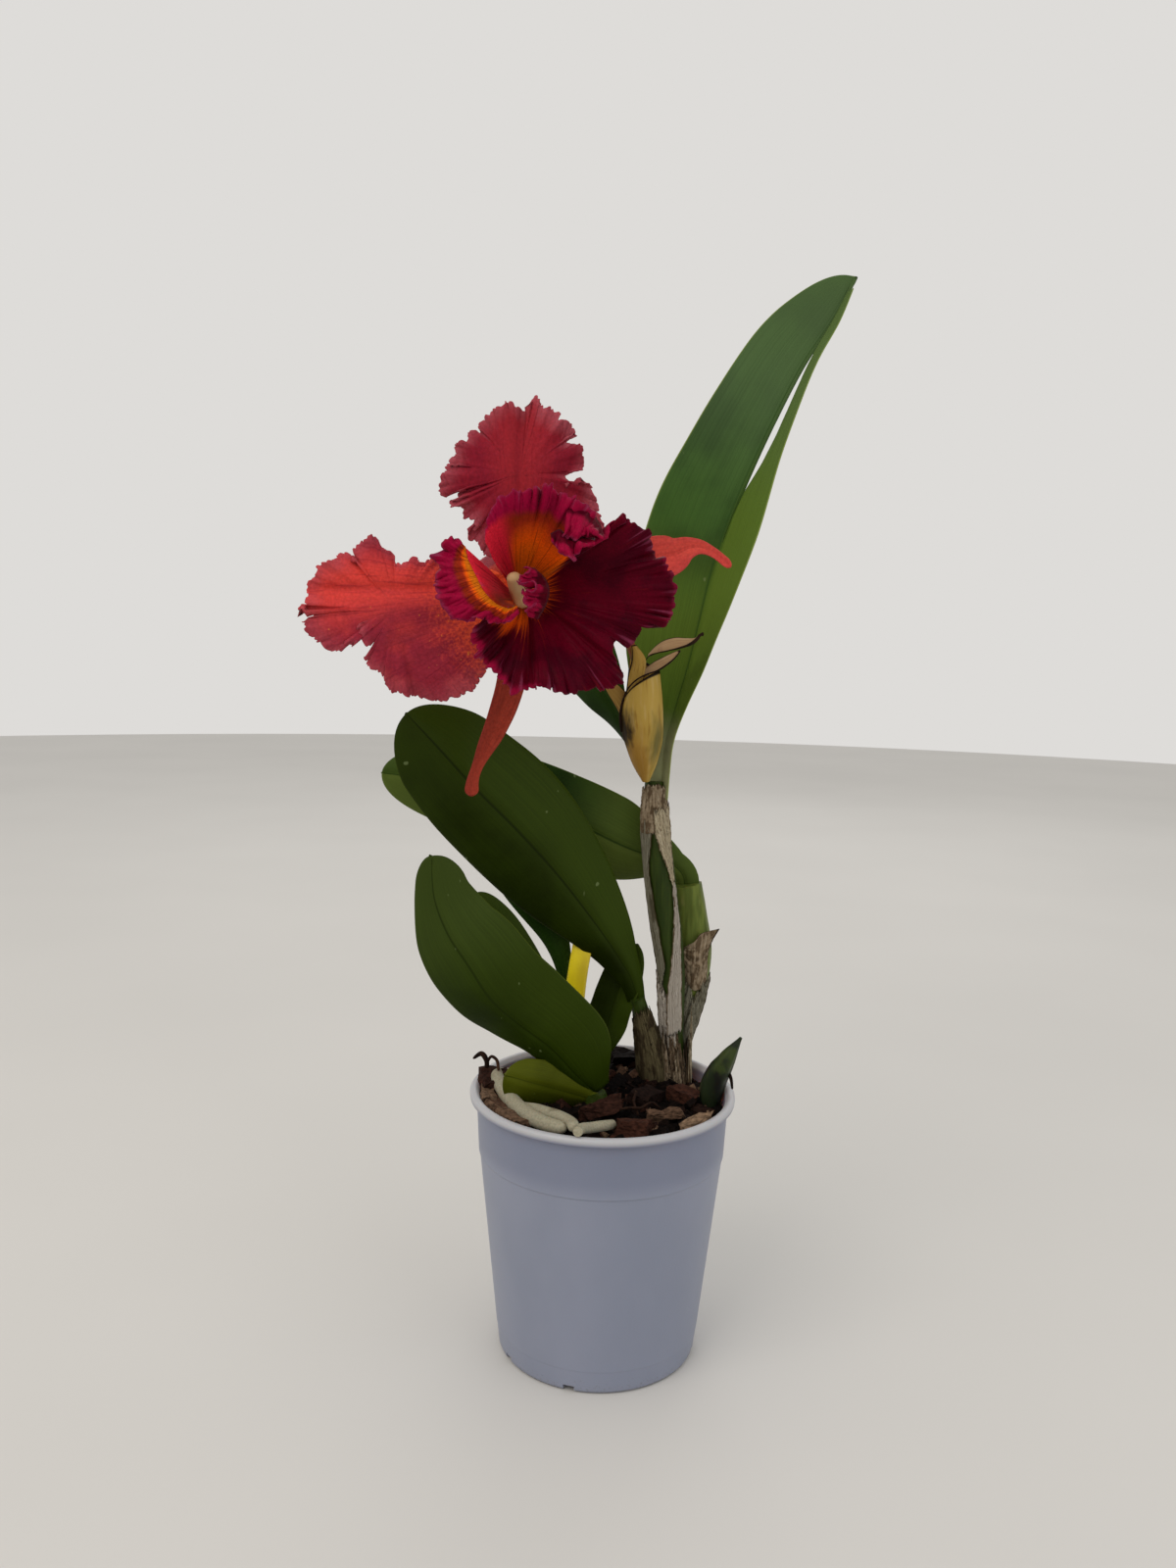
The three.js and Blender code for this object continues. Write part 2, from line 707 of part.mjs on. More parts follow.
// In the flower's own frame: x to the right and y up as the flower is faced, z out of its face.
// The stalk rises inside the spathe and swells into the ovary behind the flower.
const stalkThrough = [
  [16.5, 21, 262], [13.5, 17.5, 280], [10, 13, 298], [3, 5, 314], [-8, -6, 328], [-22, -18, 337],
].map((at) => flower.worldToLocal(point(at)).toArray());
const pedicel = {
  through: [...stalkThrough, [-1.5, 1, -7], [0, 0, 1]],
  radii: [1.7, 1.7, 1.8, 1.9, 2.1, 2.6, 3, 3.2, 4.2, 4.4],
  steps: 14,
};
place(flower, "pedicel", finishes.sepal, (grow) => stem(pedicel, grow));

const columnShape = {
  through: [[0.6, -1.2, 1.2], [0.8, -3.6, 10], [0.2, -4, 19], [-1.4, 0.5, 28], [-3.4, 6.5, 34]],
  radii: [2.6, 2.4, 2.6, 3.1, 3.2, 2.2],
  steps: 9,
  flat: 0.85,
};
place(flower, "column", finishes.column, (grow) => stem(columnShape, grow));

// The lip: one sheet that starts as a tube round the column and flares into an upper lobe, the
// broad middle lobe and the lobe at the left. Each station is a point of its margin, with the
// angle (degrees) at which its line of growth leaves the tube; where the margin turns sharply
// between two lobes it is calm, and has next to no frill.
const LIP_TUBE = { centre: [1, -1], start: 3, radius: 5.2 };
const LIP_THROAT = { centre: [5, 0], depth: 19, radius: 9.5 };
const LIP_WAVES = 17;
const LIP_FRILL = 1.9;
const RAYS_PER_STATION = 3;
const lipStations = [
  { at: [-13, 23.5, 38], angle: 150 },
  { at: [-6.3, 34.4, 42], angle: 135 },
  { at: [6.6, 38, 42], angle: 110 },
  { at: [21.5, 36, 42], angle: 85 },
  { at: [29.6, 28.5, 43], angle: 62 },
  { at: [24, 18, 44], angle: 50, calm: true },
  { at: [41, 26.5, 35], angle: 34 },
  { at: [53, 16.5, 32], angle: 12 },
  { at: [58.4, 1, 30], angle: 0 },
  { at: [56.3, -14, 30], angle: -12 },
  { at: [47, -19.7, 30], angle: -25 },
  { at: [39.5, -36.7, 32], angle: -45 },
  { at: [25.6, -38.8, 34], angle: -62 },
  { at: [4.9, -38.6, 36], angle: -80 },
  { at: [-8.3, -32.7, 36], angle: -100 },
  { at: [-15, -20.5, 36], angle: -118 },
  { at: [-10, -9, 44], angle: -135, calm: true },
  { at: [-19.6, -7.5, 50], angle: -148 },
  { at: [-29.8, 1, 46], angle: -160 },
  { at: [-29.4, 14.1, 44], angle: -172 },
  { at: [-21, 18.2, 42], angle: -182 },
];

function lipGeometry(grow) {
  const margin = curveThrough(lipStations.map((station) => station.at));
  const angles = lipStations.map((station) => station.angle);
  const frills = lipStations.map((station) => (station.calm ? 0.1 : 1) * LIP_FRILL);
  const rings = [0, 0.22, 0.45, 0.67, 0.85, 1];
  const rays = RAYS_PER_STATION * (lipStations.length - 1);
  const onRing = ({ centre, radius }, angle, z) =>
    new THREE.Vector3(
      centre[0] + radius * Math.cos(angle),
      centre[1] + radius * Math.sin(angle),
      z,
    );
  const rows = [];
  const normals = [];
  for (let i = 0; i <= rays; i++) {
    const u = i / rays;
    const rim = margin.getPoint(u);
    const angle = radians(along(angles, u));
    const root = onRing(LIP_TUBE, angle, LIP_TUBE.start);
    const throat = onRing(LIP_THROAT, angle, LIP_THROAT.depth);
    const outwards = new THREE.Vector3(rim.x - throat.x, rim.y - throat.y, 0);
    const bend = rim.clone().addScaledVector(outwards, -0.4);
    bend.z += Math.min(3, 0.12 * outwards.length());
    const line = new THREE.CubicBezierCurve3(root, throat, bend, rim);
    const wave = along(frills, u) * Math.sin(2 * Math.PI * LIP_WAVES * u);
    const row = rings.map((r) => {
      const p = line.getPoint(r);
      p.z += wave * r ** 5;
      return p;
    });
    rows.push(row);
    // across the ray, whatever its neighbours do
    const sideways = new THREE.Vector3(-Math.sin(angle), Math.cos(angle), 0);
    normals.push(rings.map((r) => line.getTangent(r).cross(sideways).normalize()));
  }
  return sheet(rows, LIP_THICKNESS, grow, normals);
}

place(flower, "lip", finishes.lip, lipGeometry);

const petals = {
  upper: {
    centre: [0, 40],
    margin: [
      [0, 3.4], [-3, 4.5], [-6, 9], [-15, 18], [-19, 29], [-24.5, 35.6], [-32.5, 41],
      [-30.5, 49.5], [-23.7, 57], [-17.4, 63.5], [-9, 69.5], [-0.8, 74], [6, 75.5], [13.4, 71],
      [21.7, 64.3], [23.7, 57.2], [25.5, 50], [21.6, 44.2], [28, 41.5], [31.8, 32.8],
      [29.5, 23.5], [19, 14], [8, 7.5], [3.6, 4.2],
    ],
    bend: (x, y) => 1.6 + 7 * Math.sin((Math.PI * y) / 95) - 0.004 * x * x - 0.05 * y,
    waves: 12,
    frill: 2.6,
  },
  left: {
    centre: [-44, -6],
    margin: [
      [-4.2, -4], [-8, -16], [-14, -34], [-23, -43], [-33.6, -46], [-44.8, -44], [-54.5, -38],
      [-61.5, -29], [-60.5, -21.5], [-63, -17.5], [-69, -20], [-75.5, -20.5], [-83.5, -13.5],
      [-88, -5], [-83, 5.2], [-74, 12.4], [-65, 14.8], [-58.4, 21.5], [-50.6, 17], [-43, 12.6],
      [-34, 11.3], [-24, 10], [-12, 8], [-5, 5], [-3.4, 0],
    ],
    bend: (x, y) => 1.6 + 6 * Math.sin((Math.PI * -x) / 95) - 0.004 * y * y - 0.1 * x,
    waves: 12,
    frill: 2.6,
  },
};

for (const [name, spec] of Object.entries(petals)) {
  place(flower, "petal_" + name, finishes.petal, (grow) => petal(spec, grow));
}

const sepals = {
  right: {
    spine: [
      [3.6, 0.4, -1.6], [22, 5, -4], [42, 11.5, -4], [62, 15.5, -2], [75, 17.5, 0],
      [86.5, 11.5, 3],
    ],
    right: [[0, -1, 0.2], [-0.1, -1, 0.1]],
    halfWidth: [8, 8],
    shoulder: 0.35,
    tipFrom: 0.5,
  },
  lower: {
    spine: [
      [0.2, -3.8, -1.6], [-3, -20, -3.5], [-6.5, -38, -5], [-9.5, -52, -5.5], [-14.5, -65, -5],
      [-20, -77, -3], [-21.8, -85.5, -1],
    ],
    right: [[-1, 0, 0.2], [-1, 0.25, 0.3]],
    halfWidth: [7.5, 7.5],
    shoulder: 0.3,
    tipFrom: 0.45,
  },
  dorsal: {
    spine: [[-3, 2.4, -2], [-8.5, 9, -8], [-11, 14, -24], [-11, 17, -42], [-8, 18, -62]],
    right: [[0.7, 0.7, 0.1], [0.8, 0.6, 0]],
    halfWidth: [7, 7],
    shoulder: 0.35,
    tipFrom: 0.5,
  },
};

for (const [name, spec] of Object.entries(sepals)) {
  const form = { fold: 14, steps: 11, stalk: 3, middle: SEPAL_THICKNESS, edge: 0.8, ...spec };
  place(flower, "sepal_" + name, finishes.sepal, (grow) => blade(form, grow));
}

// ---- roots and label ------------------------------------------------------------------------

const roots = {
  outer: {
    through: [
      [-22, 9, 112], [-38, 11, 117], [-48, 6, 122], [-44, -6, 120.5], [-36, -20, 119],
      [-29, -33, 119], [-22.4, -43, 119.5], [-16, -50, 120.5],
    ],
    radii: [1.9, 1.9, 2, 2.1, 2.1, 2, 1.8],
    steps: 15,
  },
  inner: {
    through: [
      [-30.5, -21.5, 119.5], [-25, -24.5, 119.5], [-20, -30, 119.5], [-15.5, -38, 120],
      [-12.4, -47, 121.5], [-11.6, -54, 123],
    ],
    radii: [1.9, 2, 2, 1.9, 1.8],
    steps: 9,
  },
  rim: {
    through: [
      [-9.6, -58.4, 122.6], [-8.2, -53, 121.8], [-4.6, -47.5, 120], [0, -43, 119], [5.5, -36, 117],
    ],
    radii: [1.4, 1.9, 1.9, 1.8],
    steps: 7,
  },
  tip: {
    through: [[51, 1, 128], [55.4, 0.2, 130], [57.6, -2, 127], [58.6, -3, 121.6]],
    radii: [0.9, 0.9, 0.8, 0.5],
    sides: 6,
    steps: 6,
  },
};

for (const [name, root] of Object.entries(roots)) {
  place(plant, "root_" + name, finishes.root, (grow) => stem(root, grow));
}

const label = {
  spine: [[-13.6, 7, 104], [-13.8, 8, 125], [-14, 13, 155], [-11.2, 17, 178], [-6, 20.5, 196]],
  right: [[0.98, -0.15, 0], [0.9, -0.2, -0.35]],
  halfWidth: [4.6, 4.6],
  stalk: 4.6,
  shoulder: 0.05,
  tipFrom: 0.96,
  fold: 0,
  steps: 8,
  lanes: [-1, 1],
  middle: 0.8,
  edge: 0.8,
};
place(plant, "label_tag", finishes.label, (grow) => blade(label, grow));

// ---- bark -----------------------------------------------------------------------------------

// A flake of bark: a box with its corners pushed about, laid at a place and a heading.
function chip(random, { at, size, heading, tilt }) {
  const flake = new THREE.BoxGeometry(1, 1, 1);
  flake.deleteAttribute("normal");
  flake.deleteAttribute("uv");
  const merged = mergeVertices(flake);
  const corners = merged.attributes.position;
  const pushed = (value) => value + 0.36 * (random() - 0.5);
  for (let i = 0; i < corners.count; i++) {
    const [x, y, z] = [corners.getX(i), corners.getY(i), corners.getZ(i)].map(pushed);
    corners.setXYZ(i, x, y, z);
  }
  merged.scale(...size);
  merged.rotateX(radians(tilt[0]));
  merged.rotateY(radians(tilt[1]));
  merged.rotateZ(radians(heading));
  merged.translate(...at);
  return solidOf(merged);
}

// The chips that stand out most: where, how big, which way.
const bigChips = [
  { at: [0, -19, 117.5], size: [17, 8, 6], heading: 20, tilt: [-18, -14] },
  { at: [13.5, -40, 116.5], size: [14, 9, 8], heading: -8, tilt: [-10, 0] },
  { at: [28, -20, 115.5], size: [15, 5.5, 4], heading: 14, tilt: [0, -8] },
  { at: [36, 2, 116], size: [15, 8, 7], heading: -30, tilt: [10, 10] },
  { at: [40, -35.5, 118.6], size: [14, 4.5, 3], heading: 42, tilt: [0, -10] },
  { at: [-49, 3, 118], size: [14, 16, 11], heading: 15, tilt: [8, 6] },
  { at: [-42, -26, 116], size: [9, 26, 7], heading: 40, tilt: [0, 12] },
  { at: [-50.5, -11, 117.5], size: [9, 14, 5], heading: 20, tilt: [0, 10] },
  { at: [20, -4, 115], size: [16, 9, 8], heading: 60, tilt: [14, 8] },
  { at: [10, 45, 117], size: [16, 12, 8], heading: 15, tilt: [4, 8] },
];

// How much higher than BARK_TOP the bark lies at a place.
function moundAt(x, y) {
  const flatter = 1 - (x * x + y * y) / 4000;
  return BARK_MOUND * THREE.MathUtils.smoothstep(y, -10, 30) * flatter;
}

function barkGeometry() {
  const random = randomFrom(BARK_SEED);
  const clear = SEAT + 0.1; // a little more than a seat, so that the pot's wall cuts nothing off
  const rim = POT_STEP_RADIUS - POT_WALL - clear;
  const widen = (POT_NECK_RADIUS - POT_STEP_RADIUS) / (POT_HEIGHT - POT_STEP_HEIGHT);
  const edge = rim + widen * (BARK_TOP - POT_STEP_HEIGHT);
  const profile = [
    [0, POT_FLOOR + clear],
    [POT_BASE_RADIUS - POT_WALL - clear, POT_FLOOR + clear],
    [rim, POT_STEP_HEIGHT],
    [edge, BARK_TOP],
    [edge - 12, BARK_TOP + 1.5],
    [edge - 32, BARK_TOP + 1],
    [0, BARK_TOP + 1],
  ];
  const body = turned(profile, BARK_SIDES);
  const top = body.attributes.position;
  for (let i = 0; i < top.count; i++) {
    const [x, y, z] = [top.getX(i), top.getY(i), top.getZ(i)];
    if (z <= BARK_TOP) continue;
    const rough = 1.4 * Math.sin(0.42 * x + 1) * Math.sin(0.37 * y - 0.5);
    top.setZ(i, z + moundAt(x, y) + rough);
  }
  let solid = solidOf(body);
  const chips = bigChips.map((flake) => chip(random, flake));
  for (let i = 0; i < BARK_CHIPS; i++) {
    const angle = 2.399963 * i; // the golden angle spreads the chips evenly
    const reach = 50 * Math.sqrt((i + 0.5) / BARK_CHIPS);
    const [x, y] = [reach * Math.cos(angle), reach * Math.sin(angle)];
    chips.push(
      chip(random, {
        at: [x, y, BARK_TOP + 1.5 + moundAt(x, y) + random()],
        size: [8 + 7 * random(), 5 + 4 * random(), 3.5 + 2 * random()],
        heading: 360 * random(),
        tilt: [30 * (random() - 0.5), 30 * (random() - 0.5)],
      }),
    );
  }
  for (const flake of chips) {
    solid = solid.add(flake);
  }
  return geometryOf(solid);
}

place(plant, "bark_mix", finishes.bark, barkGeometry);

export default plant;
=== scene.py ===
"""A flowering cattleya orchid in a pale plastic nursery pot.

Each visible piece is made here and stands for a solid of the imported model. Sizes are in
millimetres, +Z up, from the middle of the pot's underside. The flower's pieces are in its own
frame: x to the right and y up as it is faced, z out of its face.
"""

from __future__ import annotations

import logging
import math
from collections.abc import Callable, Sequence
from dataclasses import dataclass, field
from enum import Enum

import bmesh
import bpy
import numpy as np
from mathutils import Matrix, Vector


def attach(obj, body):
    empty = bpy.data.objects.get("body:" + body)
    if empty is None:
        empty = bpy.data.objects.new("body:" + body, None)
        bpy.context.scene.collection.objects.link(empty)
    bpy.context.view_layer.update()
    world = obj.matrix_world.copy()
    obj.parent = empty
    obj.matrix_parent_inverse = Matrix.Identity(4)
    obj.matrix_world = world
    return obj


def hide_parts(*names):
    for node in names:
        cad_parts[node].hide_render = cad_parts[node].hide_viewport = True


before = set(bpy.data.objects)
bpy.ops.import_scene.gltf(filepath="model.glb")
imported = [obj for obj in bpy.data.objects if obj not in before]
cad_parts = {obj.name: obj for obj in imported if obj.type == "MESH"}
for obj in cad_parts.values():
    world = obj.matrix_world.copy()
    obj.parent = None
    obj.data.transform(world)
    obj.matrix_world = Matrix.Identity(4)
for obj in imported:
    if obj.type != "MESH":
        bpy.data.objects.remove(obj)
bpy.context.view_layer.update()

MM = 0.001
SEED = 7

log = logging.getLogger("orchid")

Triple = tuple[float, float, float]
Colour = tuple[float, float, float, float]
Given = dict[str, object]
Pattern = tuple[object, object]  # what a finish paints: its colour and its height
Tree = bpy.types.NodeTree
Node = bpy.types.Node
Thing = bpy.types.Object


# ---- numbers ---------------------------------------------------------------------------------


def linear(colour: str) -> Colour:
    """Turns an sRGB hex colour into linear light.

    Args:
        colour: six hex digits after a #.

    Returns:
        Red, green, blue and an alpha of one.
    """
    channels = (int(colour[i : i + 2], 16) / 255 for i in (1, 3, 5))
    red, green, blue = (c / 12.92 if c <= 0.04045 else ((c + 0.055) / 1.055) ** 2.4 for c in channels)
    return (red, green, blue, 1.0)


def smooth(low: float, high: float, value: np.ndarray) -> np.ndarray:
    """A smooth step from 0 at low to 1 at high."""
    t = np.clip((np.asarray(value, float) - low) / (high - low), 0, 1)
    return t * t * (3 - 2 * t)


def ripple(value: np.ndarray, waves: float, seed: int) -> np.ndarray:
    """An uneven wave, from about -1 to 1.

    Args:
        value: where along it, 0 to 1 being its whole run.
        waves: how many waves there are in that run.
        seed: which wave of its kind.

    Returns:
        The wave's height at each value.
    """
    random = np.random.default_rng(seed)
    total = np.zeros_like(np.asarray(value, float))
    for share in (1.0, 0.72, 1.37, 1.9):
        phase = random.uniform(0, 2 * math.pi)
        total += np.sin(2 * math.pi * waves * share * value + phase) / (0.6 + share)
    return total / 1.4


class Path:
    """A smooth line through points, the same centripetal spline as the solids follow."""

    def __init__(self, points: Sequence[Sequence[float]], closed: bool = False) -> None:
        """Fits the spline.

        Args:
            points: what it passes through.
            closed: whether it comes back to its first point.
        """
        known = np.asarray(points, float)
        if closed:
            known = np.vstack([known[-1:], known, known[:2]])
        else:
            known = np.vstack([2 * known[0] - known[1], known, 2 * known[-1] - known[-2]])
        fine = np.linspace(0, 1, 33)[:-1, None]
        spans = [self._span(known[i : i + 4], fine) for i in range(len(known) - 3)]
        self.samples = np.vstack([*spans, known[-2:-1]])
        steps = np.linalg.norm(np.diff(self.samples, axis=0), axis=1)
        self.lengths = np.concatenate([[0], np.cumsum(steps)])

    @staticmethod
    def _span(near: np.ndarray, w: np.ndarray) -> np.ndarray:
        """The part of the spline between the middle two of four points."""
        p0, p1, p2, p3 = near
        d0, d1, d2 = (max(math.sqrt(np.linalg.norm(b - a)), 1e-3) for a, b in zip(near, near[1:]))
        start = ((p1 - p0) / d0 - (p2 - p0) / (d0 + d1) + (p2 - p1) / d1) * d1
        end = ((p2 - p1) / d1 - (p3 - p1) / (d1 + d2) + (p3 - p2) / d2) * d1
        curve = 3 * (p2 - p1) - 2 * start - end
        return p1 + start * w + curve * w**2 + (2 * (p1 - p2) + start + end) * w**3

    def at(self, t: np.ndarray) -> np.ndarray:
        """Points at shares of its length."""
        where = np.clip(np.asarray(t, float), 0, 1) * self.lengths[-1]
        return np.stack([np.interp(where, self.lengths, axis) for axis in self.samples.T], -1)

    def by_span(self, u: np.ndarray) -> np.ndarray:
        """Points at shares of its spans, so that each given point stands at an even share."""
        where = np.clip(np.asarray(u, float), 0, 1) * (len(self.samples) - 1)
        index = np.arange(len(self.samples))
        return np.stack([np.interp(where, index, axis) for axis in self.samples.T], -1)

    def tangent(self, t: np.ndarray) -> np.ndarray:
        """Unit directions at shares of its length."""
        t = np.asarray(t, float)
        return unit(self.at(np.minimum(t + 0.01, 1)) - self.at(np.maximum(t - 0.01, 0)))


def unit(vectors: np.ndarray) -> np.ndarray:
    """The same directions, one long."""
    return vectors / np.maximum(np.linalg.norm(vectors, axis=-1, keepdims=True), 1e-9)


# ---- node trees ------------------------------------------------------------------------------


def add(tree: Tree, kind: str, *values: object, **given: object) -> Node:
    """Adds a node with its settings and links.

    Args:
        tree: where it goes.
        kind: its type's name, without ShaderNode, GeometryNode or FunctionNode before it, and
            after a space the operation of a node that does sums.
        *values: what goes to its inputs in use, in their order: a value, a socket, or a node,
            whose first output in use is taken. None leaves an input as it is.
        **given: a setting by its own name, which starts in lower case; an input by its
            identifier, with _ for a space; or stops, a ramp's places and colours.

    Returns:
        The node.
    """
    families = ("ShaderNode", "GeometryNode", "FunctionNode")
    kind, _, operation = kind.partition(" ")
    family = next(name for name in families if hasattr(bpy.types, name + kind))
    made = tree.nodes.new(family + kind)
    if operation:
        made.operation = operation.upper()
    stops = given.pop("stops", None)
    for name in [key for key in given if key[0].islower()]:
        setattr(made, name, given.pop(name))
    sockets = {socket.identifier.replace(" ", "_"): socket for socket in made.inputs}
    in_use = [socket for socket in made.inputs if socket.enabled]
    wanted = [(sockets[name], value) for name, value in given.items()]
    for socket, value in [*zip(in_use, values), *wanted]:
        if isinstance(value, Node):
            value = next(output for output in value.outputs if output.enabled)
        if isinstance(value, bpy.types.NodeSocket):
            tree.links.new(value, socket)
        elif value is not None:
            socket.default_value = value
    if stops:
        elements = made.color_ramp.elements
        while len(elements) < len(stops):
            elements.new(1.0)
        for element, (position, colour) in zip(elements, stops):
            element.position = position
            element.color = linear(colour)
    return made


@dataclass(frozen=True)
class Finish:
    """What a surface is made of. Each kind of finish paints its own colour and relief."""

    name: str
    roughness: float
    bump: float  # how high the relief stands, in millimetres
    shader: Given  # sockets that are the same all over

    def paint(self, tree: Tree) -> Pattern:
        """Makes the pattern and gives the colour and the height to bump it by."""
        raise NotImplementedError

    def material(self) -> bpy.types.Material:
        """The finish as a material, made once."""
        known = bpy.data.materials.get(self.name)
        if known:
            return known
        made = bpy.data.materials.new(self.name)
        made.use_nodes = True
        tree = made.node_tree
        tree.nodes.clear()
        colour, height = self.paint(tree)
        relief = add(tree, "Bump", Strength=1.0, Distance=self.bump * MM, Height=height)
        shader = add(
            tree, "BsdfPrincipled", Base_Color=colour, Roughness=self.roughness, Normal=relief,
            **self.shader,
        )
        add(tree, "OutputMaterial", Surface=shader)
        return made


def spots(tree: Tree, scale: Triple, detail: float = 3) -> Node:
    """Noise on the piece's own coordinates, with so many spots a metre along each axis."""
    place = add(tree, "Mapping", add(tree, "TexCoord").outputs["Object"], Scale=scale)
    return add(tree, "TexNoise", place, Scale=1.0, Detail=detail)


def streaks(tree: Tree, across: float, along: float) -> Node:
    """Noise on the piece's UV map: lines that run along it."""
    spot = add(tree, "UVMap", uv_map="UVMap")
    place = add(tree, "Mapping", spot, Scale=(across, along, 1))
    return add(tree, "TexNoise", place, Scale=1.0, Detail=4.0)


def mark(tree: Tree, name: str) -> bpy.types.NodeSocket:
    """A number that the mesh carries, by its name."""
    return add(tree, "Attribute", attribute_name=name).outputs["Fac"]


def tint(tree: Tree, under: object, *layers: tuple) -> Node:
    """Lays colours over another, each where a value is high.

    Args:
        tree: where the nodes go.
        under: the colour below, a hex colour or a node.
        *layers: for each its hex colour, the value that decides, the value where it starts, the
            value where it is full, and how much of it shows there, if not all. A start above
            its full value makes it show where the value is low.

    Returns:
        The node with the colour.
    """
    colour = linear(under) if isinstance(under, str) else under
    for over, value, start, full, *most in layers:
        share = add(
            tree, "MapRange", value, start, full, 0.0, *(most or [1.0]), interpolation_type="SMOOTHSTEP",
        )
        colour = add(tree, "Mix", share, colour, linear(over), data_type="RGBA")
    return colour


def grained(tree: Tree, colour: object, grain: object, depth: float) -> Node:
    """Makes a colour lighter and darker with a grain."""
    value = add(tree, "MapRange", grain, 0.3, 0.7, 1 - depth, 1 + depth)
    return add(tree, "HueSaturation", Color=colour, Value=value)


# ---- finishes --------------------------------------------------------------------------------


@dataclass(frozen=True)
class Polypropylene(Finish):
    """Injection-moulded polypropylene: satin, slightly waxy, with faint flow marks down it."""

    base: str = "#8a8ea0"
    dull: str = "#83889a"
    # painted shadow: the darker band under the rim
    under_rim_shade: str = "#6e748a"
    # painted highlight on the rim's top
    rim: str = "#b0b0b4"
    grime: str = "#6a6660"

    def paint(self, tree: Tree) -> Pattern:
        """Flow marks, a painted shadow band under the rim above the ring step, a painted highlight on the
        rim's top and a little soil at the foot.
        """
        flow = tint(tree, self.base, (self.dull, spots(tree, (26, 26, 14), 3), 0.3, 0.7))
        place = add(tree, "SeparateXYZ", add(tree, "TexCoord").outputs["Object"])
        # painted shadow under the rim, then a painted highlight on the rim's top
        flow = tint(
            tree, flow, (self.under_rim_shade, place.outputs["Z"], 0.09, 0.1, 0.6),
            (self.rim, place.outputs["Z"], 0.1165, 0.1185),
        )
        foot = add(tree, "MapRange", place.outputs["Z"], 0.012, 0.0, 0.0, 0.2)
        speck = add(tree, "Math add", spots(tree, (900, 900, 900), 4), foot)
        colour = tint(tree, flow, (self.grime, speck, 0.72, 0.86, 0.4))
        return colour, spots(tree, (900, 900, 900), 2)


@dataclass(frozen=True)
class Polystyrene(Finish):
    """Sheet polystyrene of a plant tag: smooth, half-gloss, bright yellow."""

    base: str = "#e8d200"
    shade: str = "#bca400"

    def paint(self, tree: Tree) -> Pattern:
        """A little unevenness of the dye."""
        colour = tint(tree, self.base, (self.shade, spots(tree, (60, 60, 25)), 0.35, 0.75))
        return colour, spots(tree, (700, 700, 700), 1)


@dataclass(frozen=True)
class WaxyLeaf(Finish):
    """A stiff leaf with a wax skin: half-gloss, parallel veins, sunk midrib, thin pale edge."""

    base: str
    dark: str
    lit: str
    rib: str
    edge: str
    lit_from: float
    lit_to: float
    lit_share: float
    rib_share: float = 0.5
    foot_share: float = 0.0  # how far its stalk end is lit colour too
    # painted sheen: the greyer colour towards the tip stands in for the sky's reflection
    tip: str = "#47702c"
    tip_sheen_share: float = 0.0
    stalk: str = "#7c7c52"
    stalk_share: float = 0.0

    def paint(self, tree: Tree) -> Pattern:
        """Cloudy green, one half painted lighter as lit, with veins, midrib, edge, a painted sheen towards
        its tip and a few small pale spots.
        """
        spot = add(tree, "SeparateXYZ", add(tree, "UVMap", uv_map="UVMap"))
        across, along = spot.outputs["X"], spot.outputs["Y"]
        from_rib = add(tree, "Math absolute", add(tree, "Math subtract", across, 0.5))
        veins = streaks(tree, 110, 2.2)
        green = tint(
            tree, self.dark, (self.base, spots(tree, (30, 30, 30), 4), 0.32, 0.64),
            (self.lit, across, self.lit_from, self.lit_to, self.lit_share),
            (self.lit, along, 0.5, 1.0, 0.25), (self.lit, along, 0.52, 0.28, self.foot_share),
            # painted sheen towards the tip
            (self.tip, along, 0.5, 0.8, self.tip_sheen_share), (self.stalk, along, 0.17, 0.09, self.stalk_share),
        )
        green = grained(tree, green, veins, 0.12)
        green = tint(
            tree, green, (self.dark, from_rib, 0.02, 0.008, 0.6),
            (self.rib, from_rib, 0.009, 0.002, self.rib_share), (self.edge, from_rib, 0.489, 0.499, 0.7),
        )
        # a few small pale spots
        return tint(tree, green, ("#7c8a5c", spots(tree, (260, 260, 160), 1), 0.77, 0.8, 0.4)), veins


@dataclass(frozen=True)
class PetalTissue(Finish):
    """Soft petal tissue: matt, with veins that fan out from its claw and a dusty margin."""

    base: str
    heart: str
    margin: str
    vein: str = "#741826"
    blotch: str = "#801a2a"
    flush: str = "#bc3e2e"
    flush_reach: float = 0.35
    veins: float = 90
    heart_at: float = 0.0  # which side of the middle line the heart lies
    speck: str = "#d88a30"
    speck_share: float = 0.0

    def paint(self, tree: Tree) -> Pattern:
        """Warm heart, dusty margin, dark blotches and veins, and a flush near the claw."""
        spot = add(tree, "SeparateXYZ", add(tree, "UVMap", uv_map="UVMap"))
        across = add(tree, "Math subtract", spot.outputs["X"], self.heart_at)
        across = add(tree, "Math absolute", across)
        along = spot.outputs["Y"]
        cloud = spots(tree, (60, 60, 60), 4)
        lines = streaks(tree, self.veins, 3.0)
        folds = streaks(tree, 11, 2.2)
        colour = tint(
            tree, self.base, (self.heart, across, 0.17, 0.02, 0.85), (self.heart, cloud, 0.46, 0.66, 0.35),
        )
        edge = add(tree, "Math multiply_add", cloud, 0.5, mark(tree, "margin"))
        colour = tint(
            tree, colour, (self.margin, edge, 0.95, 1.3, 0.75), (self.blotch, folds, 0.48, 0.7, 0.42),
            (self.vein, lines, 0.5, 0.7, 0.4),
        )
        near = add(tree, "MapRange", along, self.flush_reach, 0.2, 0.0, 1.0)
        grains = spots(tree, (900, 900, 900), 2)
        share = add(tree, "Math multiply_add", grains, 0.8, near)
        colour = tint(tree, colour, (self.flush, share, 0.55, 1.3, 0.9))
        dots = add(tree, "Math multiply_add", near, 0.12, spots(tree, (700, 700, 700), 1))
        colour = tint(tree, colour, (self.speck, dots, 0.76, 0.84, self.speck_share))
        return grained(tree, colour, grains, 0.14), add(tree, "Math add", lines, folds)


